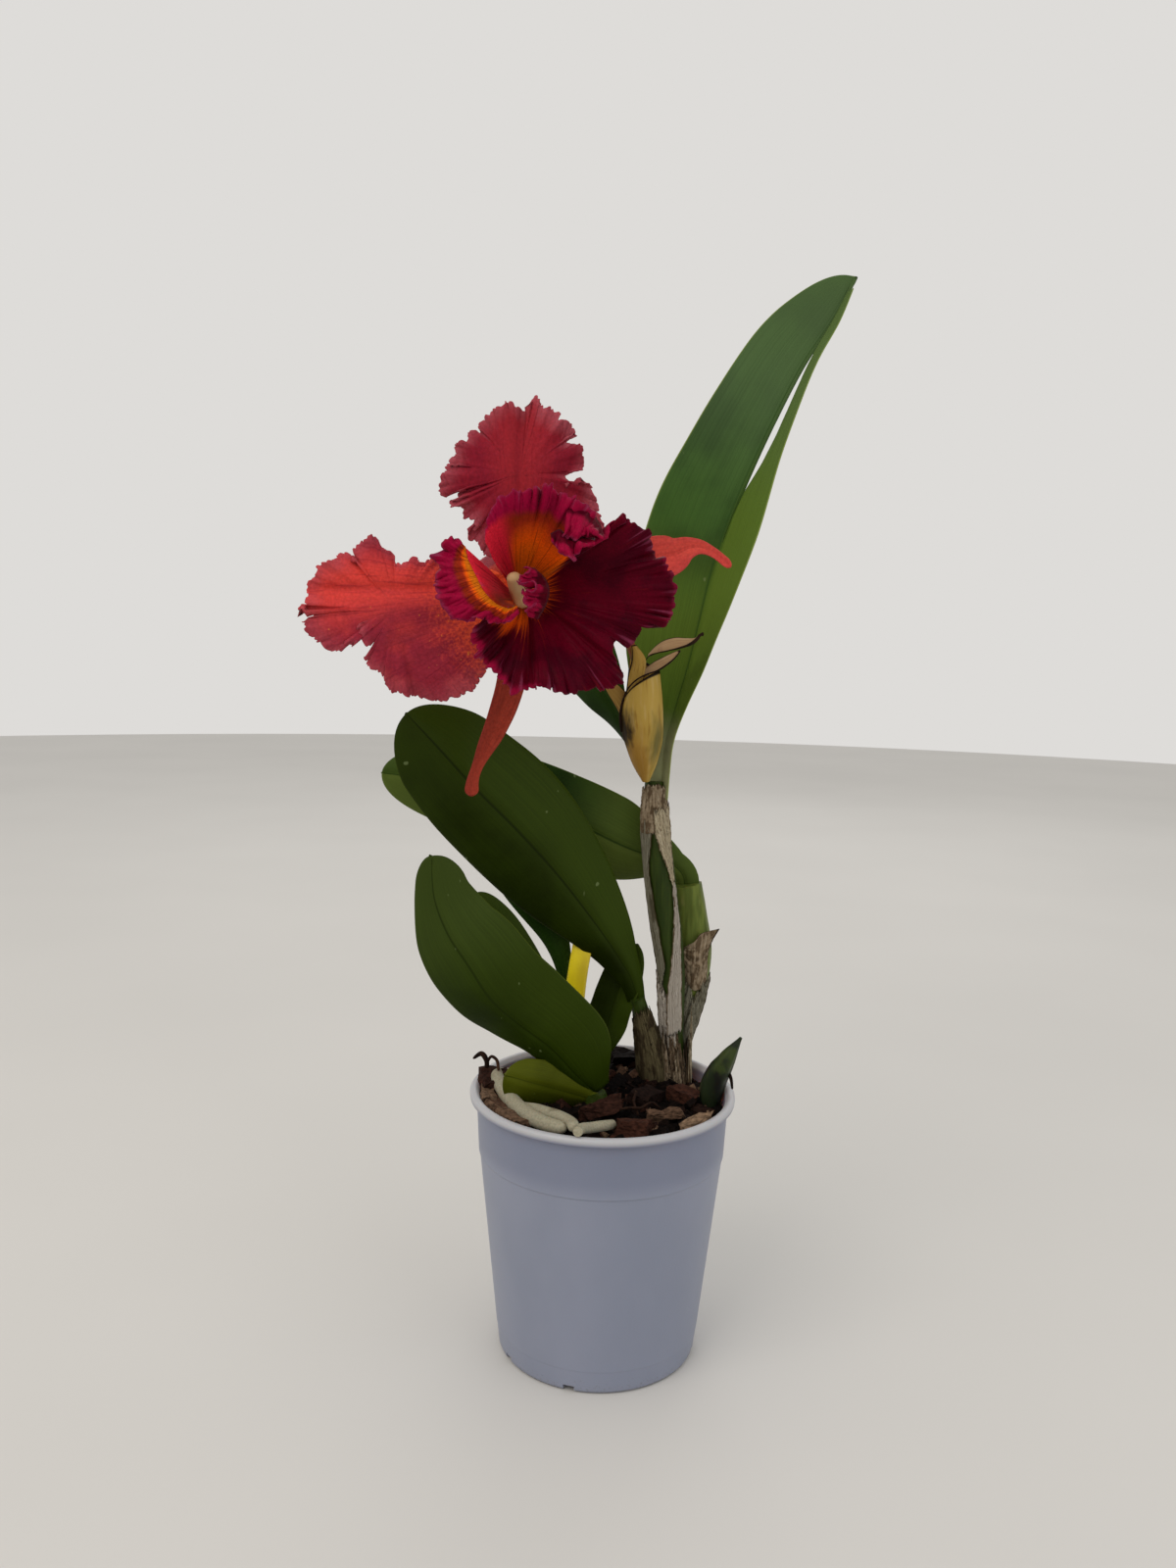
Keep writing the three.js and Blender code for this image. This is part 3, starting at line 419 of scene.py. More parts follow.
@dataclass(frozen=True)
class LipTissue(Finish):
    """The lip's thick velvet: near-black crimson, with orange, blush and ruby by its marks."""

    deep: str = "#400012"
    crimson: str = "#560016"
    line: str = "#68061f"
    ruby: str = "#8c0630"
    # painted highlight: the pale line along the very edge
    rim: str = "#7c2242"
    # painted highlight: pale streaks near the margin
    streak_highlight: str = "#8c3c5a"
    brown: str = "#7a2208"
    coral: str = "#942812"
    orange: str = "#e65808"
    amber: str = "#c8680c"
    blush: str = "#c81e32"
    vein: str = "#4c0608"
    veins: float = 210

    def paint(self, tree: Tree) -> Pattern:
        """Crimson with a ruby frill, orange with dark veins in its throat and side lobes, a painted
        highlight along its very edge and painted highlight streaks near its margin.
        """
        cloud = spots(tree, (70, 70, 70), 4)
        lines = streaks(tree, self.veins, 1.4)
        dark = tint(
            tree, self.deep, (self.crimson, cloud, 0.36, 0.64), (self.line, lines, 0.56, 0.74, 0.25),
        )
        stops = [(0.0, self.brown), (0.12, self.coral), (0.4, self.orange), (0.8, self.amber)]
        outward = add(tree, "Math multiply_add", mark(tree, "margin"), -0.5, mark(tree, "gold"))
        golden = add(tree, "ValToRGB", outward, stops=stops)
        golden = tint(tree, golden, (self.blush, mark(tree, "blush"), 0.2, 0.8))
        thin = add(tree, "Math multiply_add", mark(tree, "margin"), -0.25, lines)
        thin = add(tree, "Math multiply_add", mark(tree, "gold"), -0.15, thin)
        golden = tint(tree, golden, (self.vein, thin, 0.35, 0.45, 0.6))
        spread = add(tree, "Math multiply_add", lines, -1.9, mark(tree, "warm"))
        share = add(tree, "MapRange", spread, -0.75, -0.2, 0.0, 1.0, interpolation_type="SMOOTHSTEP")
        colour = add(tree, "Mix", share, dark, golden, data_type="RGBA")
        frill = add(tree, "Math multiply_add", cloud, 0.5, mark(tree, "frill"))
        # painted highlight along the very edge, where the rim mark is high
        colour = tint(
            tree, colour, (self.ruby, frill, 0.62, 1.18), (self.rim, mark(tree, "rim"), 0.0, 1.0, 0.75),
        )
        # painted highlight: pale streaks near the margin
        crease = add(tree, "Math multiply_add", mark(tree, "margin"), 0.4, lines)
        colour = tint(tree, colour, (self.streak_highlight, crease, 0.94, 1.08, 0.5))
        return grained(tree, colour, spots(tree, (1300, 1300, 1300), 2), 0.18), lines


@dataclass(frozen=True)
class Tissue(Finish):
    """Plain plant tissue with a grain that runs along it: stems, roots and the column."""

    base: str
    dark: str
    patch: str
    patch_from: float = 0.6
    grain: Triple = (420, 420, 40)

    def paint(self, tree: Tree) -> Pattern:
        """Two tones along the grain, and patches of a third."""
        grain = spots(tree, self.grain, 5)
        colour = tint(tree, self.dark, (self.base, grain, 0.32, 0.66))
        cloud = spots(tree, (110, 110, 60), 4)
        low, high = self.patch_from - 0.06, self.patch_from + 0.06
        return tint(tree, colour, (self.patch, cloud, low, high, 0.85)), grain


@dataclass(frozen=True)
class DryPaper(Finish):
    """A dead papery sheath: matt, with fibres along it and torn brown edges."""

    base: str
    pale: str
    brown: str
    edge: str
    edge_width: float = 0.05
    blotch: float = 0.62
    fibre: float = 42
    top_edge: float = 0.004
    mottle: float = 160  # blotches a metre

    def paint(self, tree: Tree) -> Pattern:
        """Pale fibres, brown blotches and darker torn edges."""
        spot = add(tree, "SeparateXYZ", add(tree, "UVMap", uv_map="UVMap"))
        away = add(tree, "Math absolute", add(tree, "Math subtract", spot.outputs["X"], 0.5))
        fibres = streaks(tree, self.fibre, 2.4)
        colour = tint(tree, self.brown, (self.base, fibres, 0.3, 0.44), (self.pale, fibres, 0.5, 0.68))
        blotches = spots(tree, (self.mottle, self.mottle, 0.4 * self.mottle), 4)
        colour = tint(tree, colour, (self.brown, blotches, self.blotch - 0.05, self.blotch + 0.05, 0.8))
        low, high = 0.5 - self.edge_width, 0.5 - 0.4 * self.edge_width
        colour = tint(tree, colour, (self.edge, away, low, high))
        low, high = 1 - self.top_edge, 1 - 0.5 * self.top_edge
        return tint(tree, colour, (self.edge, spot.outputs["Y"], low, high)), fibres


@dataclass(frozen=True)
class Parchment(DryPaper):
    """The dried flower sheath: straw parchment, rust low down, a painted olive shade at one side, and a
    near-black patch.
    """

    rust: str = "#8a5a1e"
    # painted shade: the darker olive band on the body
    olive: str = "#565222"
    dark_patch: str = "#1c140a"

    def paint(self, tree: Tree) -> Pattern:
        """Dry paper with rust, a painted olive shade and a near-black patch, each round its own place on
        the sheet.
        """
        colour, fibres = super().paint(tree)
        spot = add(tree, "UVMap", uv_map="UVMap")
        cloud = spots(tree, (260, 260, 120), 3)
        stains_and_shade = (
            (self.rust, (0.2, 0.15, 0.0), 0.75, 0.3, 0.6),
            # painted shade: the olive band
            (self.olive, (0.75, 0.42, 0.0), 0.5, 0.2, 0.85),
            (self.dark_patch, (-0.05, 0.6, 0.0), 0.5, 0.3, 0.97),
        )
        for over, place, low, high, most in stains_and_shade:
            away = add(tree, "VectorMath distance", spot, place)
            away = add(tree, "Math multiply_add", cloud, 0.3, away)
            colour = tint(tree, colour, (over, away, low, high, most))
        return colour, fibres


@dataclass(frozen=True)
class BarkChip(Finish):
    """Composted pine bark: crumbly and matt, from near-black to red-brown from chip to chip."""

    def paint(self, tree: Tree) -> Pattern:
        """Each chip has its own brown, with pale fibre where it is broken."""
        grain = spots(tree, (500, 500, 900), 5)
        stops = [
            (0.0, "#0a0706"), (0.5, "#140c09"), (0.74, "#22140f"), (0.87, "#3c231a"), (1.0, "#76604c"),
        ]
        tone = add(tree, "ValToRGB", mark(tree, "chip"), stops=stops)
        return grained(tree, tone, grain, 0.6), grain


@dataclass(frozen=True)
class Plaster(Finish):
    """The studio floor: plain, pale and matt."""

    base: str = "#cfcdc9"

    def paint(self, tree: Tree) -> Pattern:
        """Hardly any variation."""
        cloud = spots(tree, (3, 3, 3), 2)
        return grained(tree, linear(self.base), cloud, 0.02), cloud


# ---- rules: geometry node trees --------------------------------------------------------------


class Rule:
    """A geometry node tree with named sizes in metres, built once and used as a modifier."""

    name = "rule"
    sizes: dict[str, float | int] = {}

    def build(self, tree: Tree, given: Given) -> object:
        """Makes the tree's own nodes and gives the last one with the geometry."""
        raise NotImplementedError

    def tree(self) -> Tree:
        """The node tree, made at its first use."""
        known = bpy.data.node_groups.get(self.name)
        if known:
            return known
        made = bpy.data.node_groups.new(self.name, "GeometryNodeTree")
        face = made.interface
        face.new_socket(name="Geometry", in_out="OUTPUT", socket_type="NodeSocketGeometry")
        face.new_socket(name="Geometry", in_out="INPUT", socket_type="NodeSocketGeometry")
        face.new_socket(name="Material", in_out="INPUT", socket_type="NodeSocketMaterial")
        for size, value in self.sizes.items():
            kind = "NodeSocketInt" if isinstance(value, int) else "NodeSocketFloat"
            face.new_socket(name=size, in_out="INPUT", socket_type=kind).default_value = value
        start = made.nodes.new("NodeGroupInput")
        given = {socket.name: socket for socket in start.outputs}
        real = add(made, "RealizeInstances", Geometry=self.build(made, given))
        clad = add(made, "SetMaterial", Geometry=real, Material=given["Material"])
        made.links.new(clad.outputs[0], made.nodes.new("NodeGroupOutput").inputs[0])
        return made

    def apply(self, piece: Thing, material: bpy.types.Material, **sizes: float) -> None:
        """Puts the rule on a piece.

        Args:
            piece: what it shapes.
            material: what the result is made of.
            **sizes: the sizes that differ from the rule's own, with _ for a space.
        """
        modifier = piece.modifiers.new(self.name, "NODES")
        modifier.node_group = self.tree()
        sockets = modifier.node_group.interface.items_tree
        known = {socket.name: socket.identifier for socket in sockets if socket.in_out == "INPUT"}
        modifier[known["Material"]] = material
        wanted = {size.replace("_", " "): value for size, value in sizes.items()}
        for size, value in self.sizes.items():
            modifier[known[size]] = type(value)(wanted.get(size, value))


def named(tree: Tree, name: str, kind: str = "FLOAT") -> Node:
    """Reads one of the mesh's own numbers."""
    return add(tree, "InputNamedAttribute", name, data_type=kind)


def store(tree: Tree, shape: object, name: str, value: object, domain: str = "POINT") -> Node:
    """Keeps a number on the geometry under a name."""
    return add(
        tree, "StoreNamedAttribute", Geometry=shape, Name=name, Value=value, data_type="FLOAT",
        domain=domain,
    )


class SwellingStem(Rule):
    """A skin round a line of points, as thick as each point's girth says."""

    name = "swelling stem"
    sizes = {
        "Sides": 28, "Furrows": 9.0, "Furrow depth": 0.0002, "Wrinkle": 0.0002, "Wrinkle scale": 300.0,
        "Stretch": 0.15,
    }

    def build(self, tree: Tree, given: Given) -> object:
        """Sweeps a circle along the line and pushes its skin in and out."""
        line = add(tree, "MeshToCurve", given["Geometry"])
        line = store(tree, line, "along", add(tree, "SplineParameter"))
        ring = add(tree, "CurvePrimitiveCircle", Resolution=given["Sides"], Radius=1.0)
        ring = store(tree, ring, "around", add(tree, "SplineParameter"))
        skin = add(
            tree, "CurveToMesh", Curve=line, Profile_Curve=ring, Scale=named(tree, "girth"),
            Fill_Caps=True,
        )
        turn = add(tree, "Math multiply", named(tree, "around"), 2 * math.pi)
        turns = add(tree, "Math multiply", turn, given["Furrows"])
        furrow = add(tree, "Math cosine", turns)
        stretch = add(tree, "CombineXYZ", 1.0, 1.0, given["Stretch"])
        spot = add(tree, "VectorMath multiply", add(tree, "InputPosition"), stretch)
        noise = add(tree, "TexNoise", spot, Scale=given["Wrinkle scale"], Detail=3.0)
        noise = add(tree, "Math multiply_add", noise, 4.0, -2.0)
        wrinkle = add(tree, "Math multiply", noise, given["Wrinkle"])
        push = add(tree, "Math multiply_add", furrow, given["Furrow depth"], wrinkle)
        push = add(tree, "Math multiply", push, named(tree, "free"))
        outward = add(tree, "VectorMath scale", add(tree, "InputNormal"), Scale=push)
        moved = add(tree, "SetPosition", Geometry=skin, Offset=outward)
        return add(tree, "SetShadeSmooth", Geometry=moved)


class Frill(Rule):
    """Ruffles a sheet towards its margin: broad folds, a crisped edge and clefts between teeth.

    The sheet carries how far out a point is (margin), where along the margin (turn), how much
    frill it may have (calm) and which way is outwards (outward).
    """

    name = "frill"
    sizes = {
        "Girth": 0.3, "Fold": 0.004, "Fold length": 0.014, "Fold depth": 2.8, "Crisp": 0.0018,
        "Crisp length": 0.0045, "Swell": 0.0012, "Cleft": 0.0022, "Cleft length": 0.0065, "Sway": 0.001,
        "Sway length": 0.005, "Seed": 1.0,
    }

    def level(self, tree: Tree, given: Given, length: str, shift: float, drift: float) -> Node:
        """Noise from about -1 to 1, which comes back to its start round the margin.

        Args:
            tree: where the nodes go.
            given: the rule's sizes.
            length: the name of the size that says how long one swing is.
            shift: which noise of its kind.
            drift: how much it changes from the middle out to the margin.

        Returns:
            The node with the noise.
        """
        turn = add(tree, "Math multiply", named(tree, "turn"), 2 * math.pi)
        radius = add(tree, "Math divide", given["Girth"], 2 * math.pi)
        cosine = add(tree, "Math cosine", turn)
        sine = add(tree, "Math sine", turn)
        seed = add(tree, "Math add", given["Seed"], shift)
        ring = add(
            tree, "CombineXYZ", add(tree, "Math multiply", cosine, radius),
            add(tree, "Math multiply", sine, radius),
            add(tree, "Math multiply_add", named(tree, "margin"), drift, seed),
        )
        scale = add(tree, "Math divide", 1.6, given[length])
        noise = add(tree, "TexNoise", ring, Scale=scale, Detail=1.5)
        return add(tree, "Math multiply_add", noise, 4.4, -2.2)

    def grown(self, tree: Tree, given: Given, level: object, height: str, power: object) -> Node:
        """Scales a noise by a size and by a power of how far out it is."""
        rise = add(tree, "Math power", named(tree, "margin"), power)
        high = add(tree, "Math multiply", given[height], named(tree, "calm"))
        swing = add(tree, "Math multiply", level, rise)
        return add(tree, "Math multiply", swing, high)

    def build(self, tree: Tree, given: Given) -> object:
        """Adds noise along the margin, the more the nearer to it."""
        folds = self.level(tree, given, "Fold length", 0.0, 0.006)
        crisps = self.level(tree, given, "Crisp length", 3.1, 0.002)
        swells = self.level(tree, given, "Fold length", 9.2, 0.004)
        teeth = self.level(tree, given, "Cleft length", 5.7, 0.0)
        square = add(tree, "Math multiply", teeth, teeth)
        notch = add(tree, "Math exponent", add(tree, "Math multiply", square, -18.0))
        cut = add(tree, "Math multiply_add", teeth, 0.4, add(tree, "Math multiply", notch, -1.0))
        lift = add(
            tree, "Math add", self.grown(tree, given, folds, "Fold", given["Fold depth"]),
            self.grown(tree, given, crisps, "Crisp", 6.0),
        )
        reach = add(
            tree, "Math add", self.grown(tree, given, swells, "Swell", 4.0),
            self.grown(tree, given, cut, "Cleft", 7.0),
        )
        normal = add(tree, "InputNormal")
        forward = add(tree, "VectorMath scale", normal, Scale=lift)
        way = named(tree, "outward", "FLOAT_VECTOR")
        sways = self.level(tree, given, "Sway length", 12.6, 0.002)
        sideways = add(
            tree, "VectorMath scale", add(tree, "VectorMath cross_product", normal, way),
            Scale=self.grown(tree, given, sways, "Sway", 5.0),
        )
        outward = add(tree, "VectorMath scale", way, Scale=reach)
        push = add(tree, "VectorMath add", forward, outward)
        push = add(tree, "VectorMath add", push, sideways)
        return add(tree, "SetPosition", Geometry=given["Geometry"], Offset=push)


class Flakes(Rule):
    """Flakes of bark strewn on the soil, big ones, small ones and thin splinters, all broken up."""

    name = "flakes"
    half_turn = 3.14159  # how far either way a flake may be turned about its upright axis
    sizes = {
        "Spacing": 0.0054, "Long": 0.01, "Wide": 0.005, "Thick": 0.0032, "Tilt": 0.75, "Rough": 0.0015,
        "Small": 0.45, "Seed": 3,
    }

    def layer(
        self, tree: Tree, given: Given, room: str, share: object, form: Triple = (1, 1, 1),
    ) -> object:
        """Strews flakes of one share of the full size and form where the mark `room` allows it."""
        spacing = add(tree, "Math multiply", given["Spacing"], share)
        strewn = add(
            tree, "DistributePointsOnFaces", distribute_method="POISSON", Mesh=given["Geometry"],
            Selection=named(tree, room, "BOOLEAN"), Distance_Min=spacing, Density_Max=90000.0,
            Seed=given["Seed"],
        )
        box = add(tree, "CombineXYZ", given["Long"], given["Wide"], given["Thick"])
        box = add(tree, "VectorMath multiply", box, form)
        flake = add(tree, "MeshCube", add(tree, "VectorMath scale", box, Scale=share), 4, 3, 3)
        most = add(tree, "CombineXYZ", given["Tilt"], given["Tilt"], self.half_turn)
        least = add(tree, "VectorMath scale", most, Scale=-1.0)
        turn = add(tree, "RandomValue", data_type="FLOAT_VECTOR", Min=least, Max=most, Seed=given["Seed"])
        other = add(tree, "Math add", given["Seed"], 11.0)
        size = add(
            tree, "RandomValue", data_type="FLOAT_VECTOR", Min=(0.5, 0.6, 0.6), Max=(1.25, 1.2, 1.3),
            Seed=other,
        )
        laid = add(
            tree, "InstanceOnPoints", Points=strewn, Instance=flake,
            Rotation=add(tree, "EulerToRotation", turn), Scale=size,
        )
        tone = add(tree, "RandomValue", data_type="FLOAT", Seed=other)
        return store(tree, laid, "chip", tone, "INSTANCE")

    def build(self, tree: Tree, given: Given) -> object:
        """Strews the three layers and pushes every loose chip's corners about."""
        joined = tree.nodes.new("GeometryNodeJoinGeometry")
        layers = (
            given["Geometry"], self.layer(tree, given, "room", 1.0).outputs[0],
            self.layer(tree, given, "small", given["Small"]).outputs[0],
            self.layer(tree, given, "room", 0.9, (1.3, 0.16, 0.2)).outputs[0],
        )
        for layer in layers:
            tree.links.new(layer, joined.inputs[0])
        real = add(tree, "RealizeInstances", joined)
        spot = add(tree, "InputPosition")
        lumps = add(tree, "TexNoise", spot, Scale=190.0, Detail=3.0).outputs["Color"]
        centred = add(tree, "VectorMath subtract", lumps, (0.5, 0.5, 0.5))  # noise lies round a half
        rough = add(tree, "Math multiply", given["Rough"], 4.0)
        push = add(tree, "VectorMath scale", centred, Scale=rough)
        free = add(tree, "BooleanMath not", named(tree, "fixed", "BOOLEAN"))
        return add(tree, "SetPosition", Geometry=real, Selection=free, Offset=push)


# ---- pieces ----------------------------------------------------------------------------------

FLOWER_AT = (-38.5, -30.0, 340.5)
FLOWER_FACING = (0.077, -0.996, -0.039)
FLOWER_ROLL = math.radians(1.4)


def flower_frame() -> Matrix:
    """Where the flower's own frame stands, in metres."""
    facing = Vector(FLOWER_FACING).normalized()
    sideways = Vector((math.cos(FLOWER_ROLL), 0, math.sin(FLOWER_ROLL)))
    up = facing.cross(sideways).normalized()
    turned = Matrix((up.cross(facing), up, facing)).transposed()
    return Matrix.Translation(Vector(FLOWER_AT) * MM) @ turned.to_4x4()


def placed(name: str, data: bpy.types.ID) -> Thing:
    """Puts an object in the scene, at the origin."""
    made = bpy.data.objects.new(name, data)
    bpy.context.scene.collection.objects.link(made)
    return made


@dataclass
class Sheet:
    """A thin sheet on a grid of points, rows along it and columns across, in millimetres."""

    points: np.ndarray
    uv: np.ndarray
    thickness: float
    thin: np.ndarray | None = None
    marks: dict[str, np.ndarray] = field(default_factory=dict)
    closed: bool = False
    open_cells: np.ndarray | None = None

    def mesh(self, name: str) -> bpy.types.Mesh:
        """The sheet's middle surface.

        Args:
            name: the mesh's name.

        Returns:
            A mesh in metres, with its UV map and marks.
        """
        rows, columns = self.points.shape[:2]
        wide = columns if self.closed else columns - 1
        i, j = np.meshgrid(np.arange(rows - 1), np.arange(wide), indexing="ij")
        after = (j + 1) % columns
        cells = np.stack(
            [i * columns + j, (i + 1) * columns + j, (i + 1) * columns + after, i * columns + after], -1,
        )
        kept = cells.reshape(-1, 4) if self.open_cells is None else cells[~self.open_cells]
        mesh = bpy.data.meshes.new(name)
        mesh.from_pydata((self.points.reshape(-1, 3) * MM).tolist(), [], kept.tolist())
        layer = mesh.uv_layers.new(name="UVMap")
        layer.data.foreach_set("uv", self.uv.reshape(-1, 2)[kept].reshape(-1))
        for key, values in self.marks.items():
            kind, slot = ("FLOAT", "value") if values.ndim == 2 else ("FLOAT_VECTOR", "vector")
            mark_layer = mesh.attributes.new(key, kind, "POINT")
            mark_layer.data.foreach_set(slot, values.astype(np.float32).reshape(-1))
        return mesh

    def piece(self, name: str) -> Thing:
        """The sheet as an object, with welded poles and its thickness still to come."""
        mesh = self.mesh(name)
        piece = placed(name, mesh)
        if self.thin is not None:
            group = piece.vertex_groups.new(name="thin")
            for index, weight in enumerate(self.thin.reshape(-1)):
                group.add([index], float(weight), "REPLACE")
        shape = bmesh.new()
        shape.from_mesh(mesh)
        bmesh.ops.remove_doubles(shape, verts=shape.verts, dist=1e-6)
        loose = [vertex for vertex in shape.verts if not vertex.link_faces]
        bmesh.ops.delete(shape, geom=loose, context="VERTS")
        shape.to_mesh(mesh)
        shape.free()
        return piece

    def thicken(self, piece: Thing) -> None:
        """Gives the piece its thickness as its last modifier."""
        solid = piece.modifiers.new("thickness", "SOLIDIFY")
        solid.thickness = self.thickness * MM
        solid.offset = 0
        solid.use_rim = True
        if self.thin is not None:
            solid.vertex_group = "thin"
            solid.thickness_vertex_group = 0.02

    def solid(self, name: str, place: Matrix | None = None) -> Thing:
        """The sheet with its thickness as plain mesh, in its frame."""
        piece = self.piece(name)
        self.thicken(piece)
        return bake(piece, place)


def bake(piece: Thing, place: Matrix | None = None) -> Thing:
    """Turns a piece with modifiers into plain mesh.

    Args:
        piece: the piece.
        place: where its own frame stands; the object itself stays at the origin.

    Returns:
        The piece.
    """
    bpy.context.view_layer.update()
    graph = bpy.context.evaluated_depsgraph_get()
    plain = bpy.data.meshes.new_from_object(piece.evaluated_get(graph), depsgraph=graph)
    piece.modifiers.clear()
    piece.data = plain
    if place is not None:
        plain.transform(place)
    plain.shade_smooth()
    return piece


class Slot(Enum):
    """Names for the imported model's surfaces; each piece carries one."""

    POT = "pot"
    BARK = "bark"
    BULB = "bulb"
    SHOOT = "shoot"
    LEAF = "leaf"
    LEAF_OLIVE = "leaf_olive"
    SPATHE = "spathe"
    LABEL = "label"
    PAPER = "paper"
    SEPAL = "sepal"
    PETAL = "petal"
    LIP = "lip"
    COLUMN = "column"
    ROOT = "root"


@dataclass
class Piece:
    """One visible piece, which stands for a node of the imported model."""

    node: str
    slot: Slot
    finish: Finish
    part: str = field(default="form", kw_only=True)
    in_flower: bool = field(default=False, kw_only=True)

    @property
    def place(self) -> Matrix | None:
        """Where its frame stands, if that isn't the pot's."""
        return flower_frame() if self.in_flower else None

    @property
    def name(self) -> str:
        """What the piece is called: its node and which part of it."""
        return f"{self.node}_{self.part}"

    def form(self) -> Thing:
        """Builds the piece's plain mesh."""
        raise NotImplementedError

    def make(self) -> Thing:
        """Builds the piece, dresses it and puts it in its node's place."""
        piece = self.form()
        if not piece.data.materials:
            piece.data.materials.append(self.finish.material())
        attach(piece, "root")
        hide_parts(self.node)
        log.info("%s: %d faces", self.name, len(piece.data.polygons))
        return piece


@dataclass
class Blade(Piece):
    """A strap-shaped blade along its midrib: a leaf, a sepal or the label."""

    spine: list[Triple]
    right: list[Triple]
    half_width: tuple[float, float]  # its left half's and its right half's
    stalk: float = 3.0  # the least half width in its lower half
    shoulder: float = 0.4  # the share of its length where it has widened, without an outline
    tip_from: float = 0.6  # where it starts to narrow, without an outline
    fold: float = 15.0  # degrees that each half is turned up
    middle: float = 1.7  # its thickness at its midrib
    edge: float = 0.35  # its thickness at its edge
    groove: float = 0.7  # how deep the midrib lies
    wave: float = 0.7  # how far its edges swing
    rows: int = 110
    lanes: int = 41
    crease: float = 1.3  # a fold of 1 is sharp, and more is rounder
    seed: int = 1
    outline: tuple[float, ...] = ()  # its width at even shares of its length
    outline_left: tuple[float, ...] = ()  # its left half's, where that differs
    round_from: float = 0.04  # the share of its length that rounds off at its tip

    def lane_grid(self, t: np.ndarray) -> np.ndarray:
        """Where the lanes lie in each row, -1 to 1."""
        return np.broadcast_to(np.linspace(-1, 1, self.lanes), (len(t), self.lanes)).copy()

    def widths(self, t: np.ndarray, left: bool = False) -> np.ndarray:
        """The blade's width at shares of its length, 0 to 1.

        Args:
            t: the shares of its length.
            left: whether its left half is asked for.

        Returns:
            The width at each share.
        """
        outline = self.outline_left if left and self.outline_left else self.outline
        if outline:
            stations = np.linspace(0, 1, len(outline))
            reach = 1.2 / (len(outline) - 1)
            shifts = np.linspace(-reach, reach, 13)
            near = [np.interp(np.clip(t + d, 0, 1), stations, outline) for d in shifts]
            mean = np.average(near, axis=0, weights=1.05 * reach - np.abs(shifts))
            past = np.clip(1 - (1 - t) / self.round_from, 0, 1)
            return mean * np.sqrt(1 - past**2)
        rise = np.sin(math.pi / 2 * np.minimum(t / self.shoulder, 1)) ** 1.3
        past = np.maximum(t - self.tip_from, 0) / (1 - self.tip_from)
        return rise * np.sqrt(np.maximum(1 - past**2.2, 0))

    def sheet(self) -> Sheet:
        """The blade's grid."""
        t = 1 - (1 - np.linspace(0, 1, self.rows)) ** 1.5
        path = Path(self.spine)
        centre, tangent = path.at(t), path.tangent(t)
        first, last = np.asarray(self.right[0], float), np.asarray(self.right[-1], float)
        side = first + (last - first) * t[:, None]
        side = unit(side - tangent * np.sum(side * tangent, -1, keepdims=True))
        face = np.cross(side, tangent)
        lanes = self.lane_grid(t)
        full = np.where(lanes < 0, self.half_width[0], self.half_width[1])
        least = np.where(t < 0.5, self.stalk, 0.15)[:, None]
        shape = np.where(lanes < 0, self.widths(t, True)[:, None], self.widths(t)[:, None])
        half = np.maximum(full * shape, least)
        away = np.abs(lanes)
        lift = away**self.crease * half * math.sin(math.radians(self.fold))
        near_rib = np.exp(-((lanes * half / 1.6) ** 2))
        lift -= self.groove * near_rib * np.minimum(half / 8, 1)
        swing = ripple(t, 3.2, self.seed)[:, None] * np.where(lanes < 0, 1, -0.8)
        lift += self.wave * swing * away**2 * np.minimum(half / 12, 1)
        out = lanes * half * math.cos(math.radians(self.fold))
        points = centre[:, None] + side[:, None] * out[..., None] + face[:, None] * lift[..., None]
        uv = np.stack([(lanes + 1) / 2, np.broadcast_to(t[:, None], lanes.shape)], -1)
        thin = 1 - (1 - self.edge / self.middle) * away**3
        return Sheet(points, uv, self.middle, thin, {"margin": away})

    def form(self) -> Thing:
        """The blade with its thickness."""
        return self.sheet().solid(self.name, self.place)


@dataclass
class TornBlade(Blade):
    """A leaf that has split beside its midrib, up to its tip."""

    tear_from: float = 0.47
    tear_at: float = 0.06  # as a share of the right half
    tear: tuple[float, ...] = (0.03, 0.05, 0.12, 0.32, 0.43, 0.45, 0.44, 0.38, 0.2, 0.1, 0.1)
    strip_end: float = 0.955

    def sheet(self) -> Sheet:
        """The blade's grid, open along the tear."""
        whole = super().sheet()
        t = whole.uv[:, 0, 1]
        column = self.lanes // 2 + 2
        cells = np.zeros((self.rows - 1, self.lanes - 1), bool)
        cells[t[:-1] > self.tear_from, column] = True
        gone = t[:-1, None] > self.strip_end + 0.02 * np.linspace(0, 1, self.lanes - 1)[None]
        cells |= gone & (np.arange(self.lanes - 1)[None] > column)
        whole.open_cells = cells
        return whole

    def lane_grid(self, t: np.ndarray) -> np.ndarray:
        """Lanes that part round the tear."""
        column = self.lanes // 2 + 2
        share = np.clip((t - self.tear_from) / (1 - self.tear_from), 0, 1)
        low = np.full_like(t, self.tear_at)
        high = low + np.interp(share, np.linspace(0, 1, len(self.tear)), self.tear)
        left = np.linspace(0, 1, column + 1)
        right = np.linspace(0, 1, self.lanes - column - 1)
        start = -1 + (low[:, None] + 1) * left[None]
        end = high[:, None] + (1 - high[:, None]) * right[None]
        return np.hstack([start, end])


def frilled(piece: Piece, sheet: Sheet, girth: float, **sizes: float) -> Thing:
    """Ruffles a sheet of the flower, gives it its thickness and puts it in the flower's frame.

    Args:
        piece: what the sheet belongs to.
        sheet: the sheet with its marks.
        girth: how long its margin is, in millimetres.
        **sizes: sizes of the frill that differ from the rule's own, in metres.

    Returns:
        The plain piece.
    """
    made = sheet.piece(piece.name)
    Frill().apply(made, piece.finish.material(), Girth=girth * MM, **sizes)
    sheet.thicken(made)
    return bake(made, flower_frame())


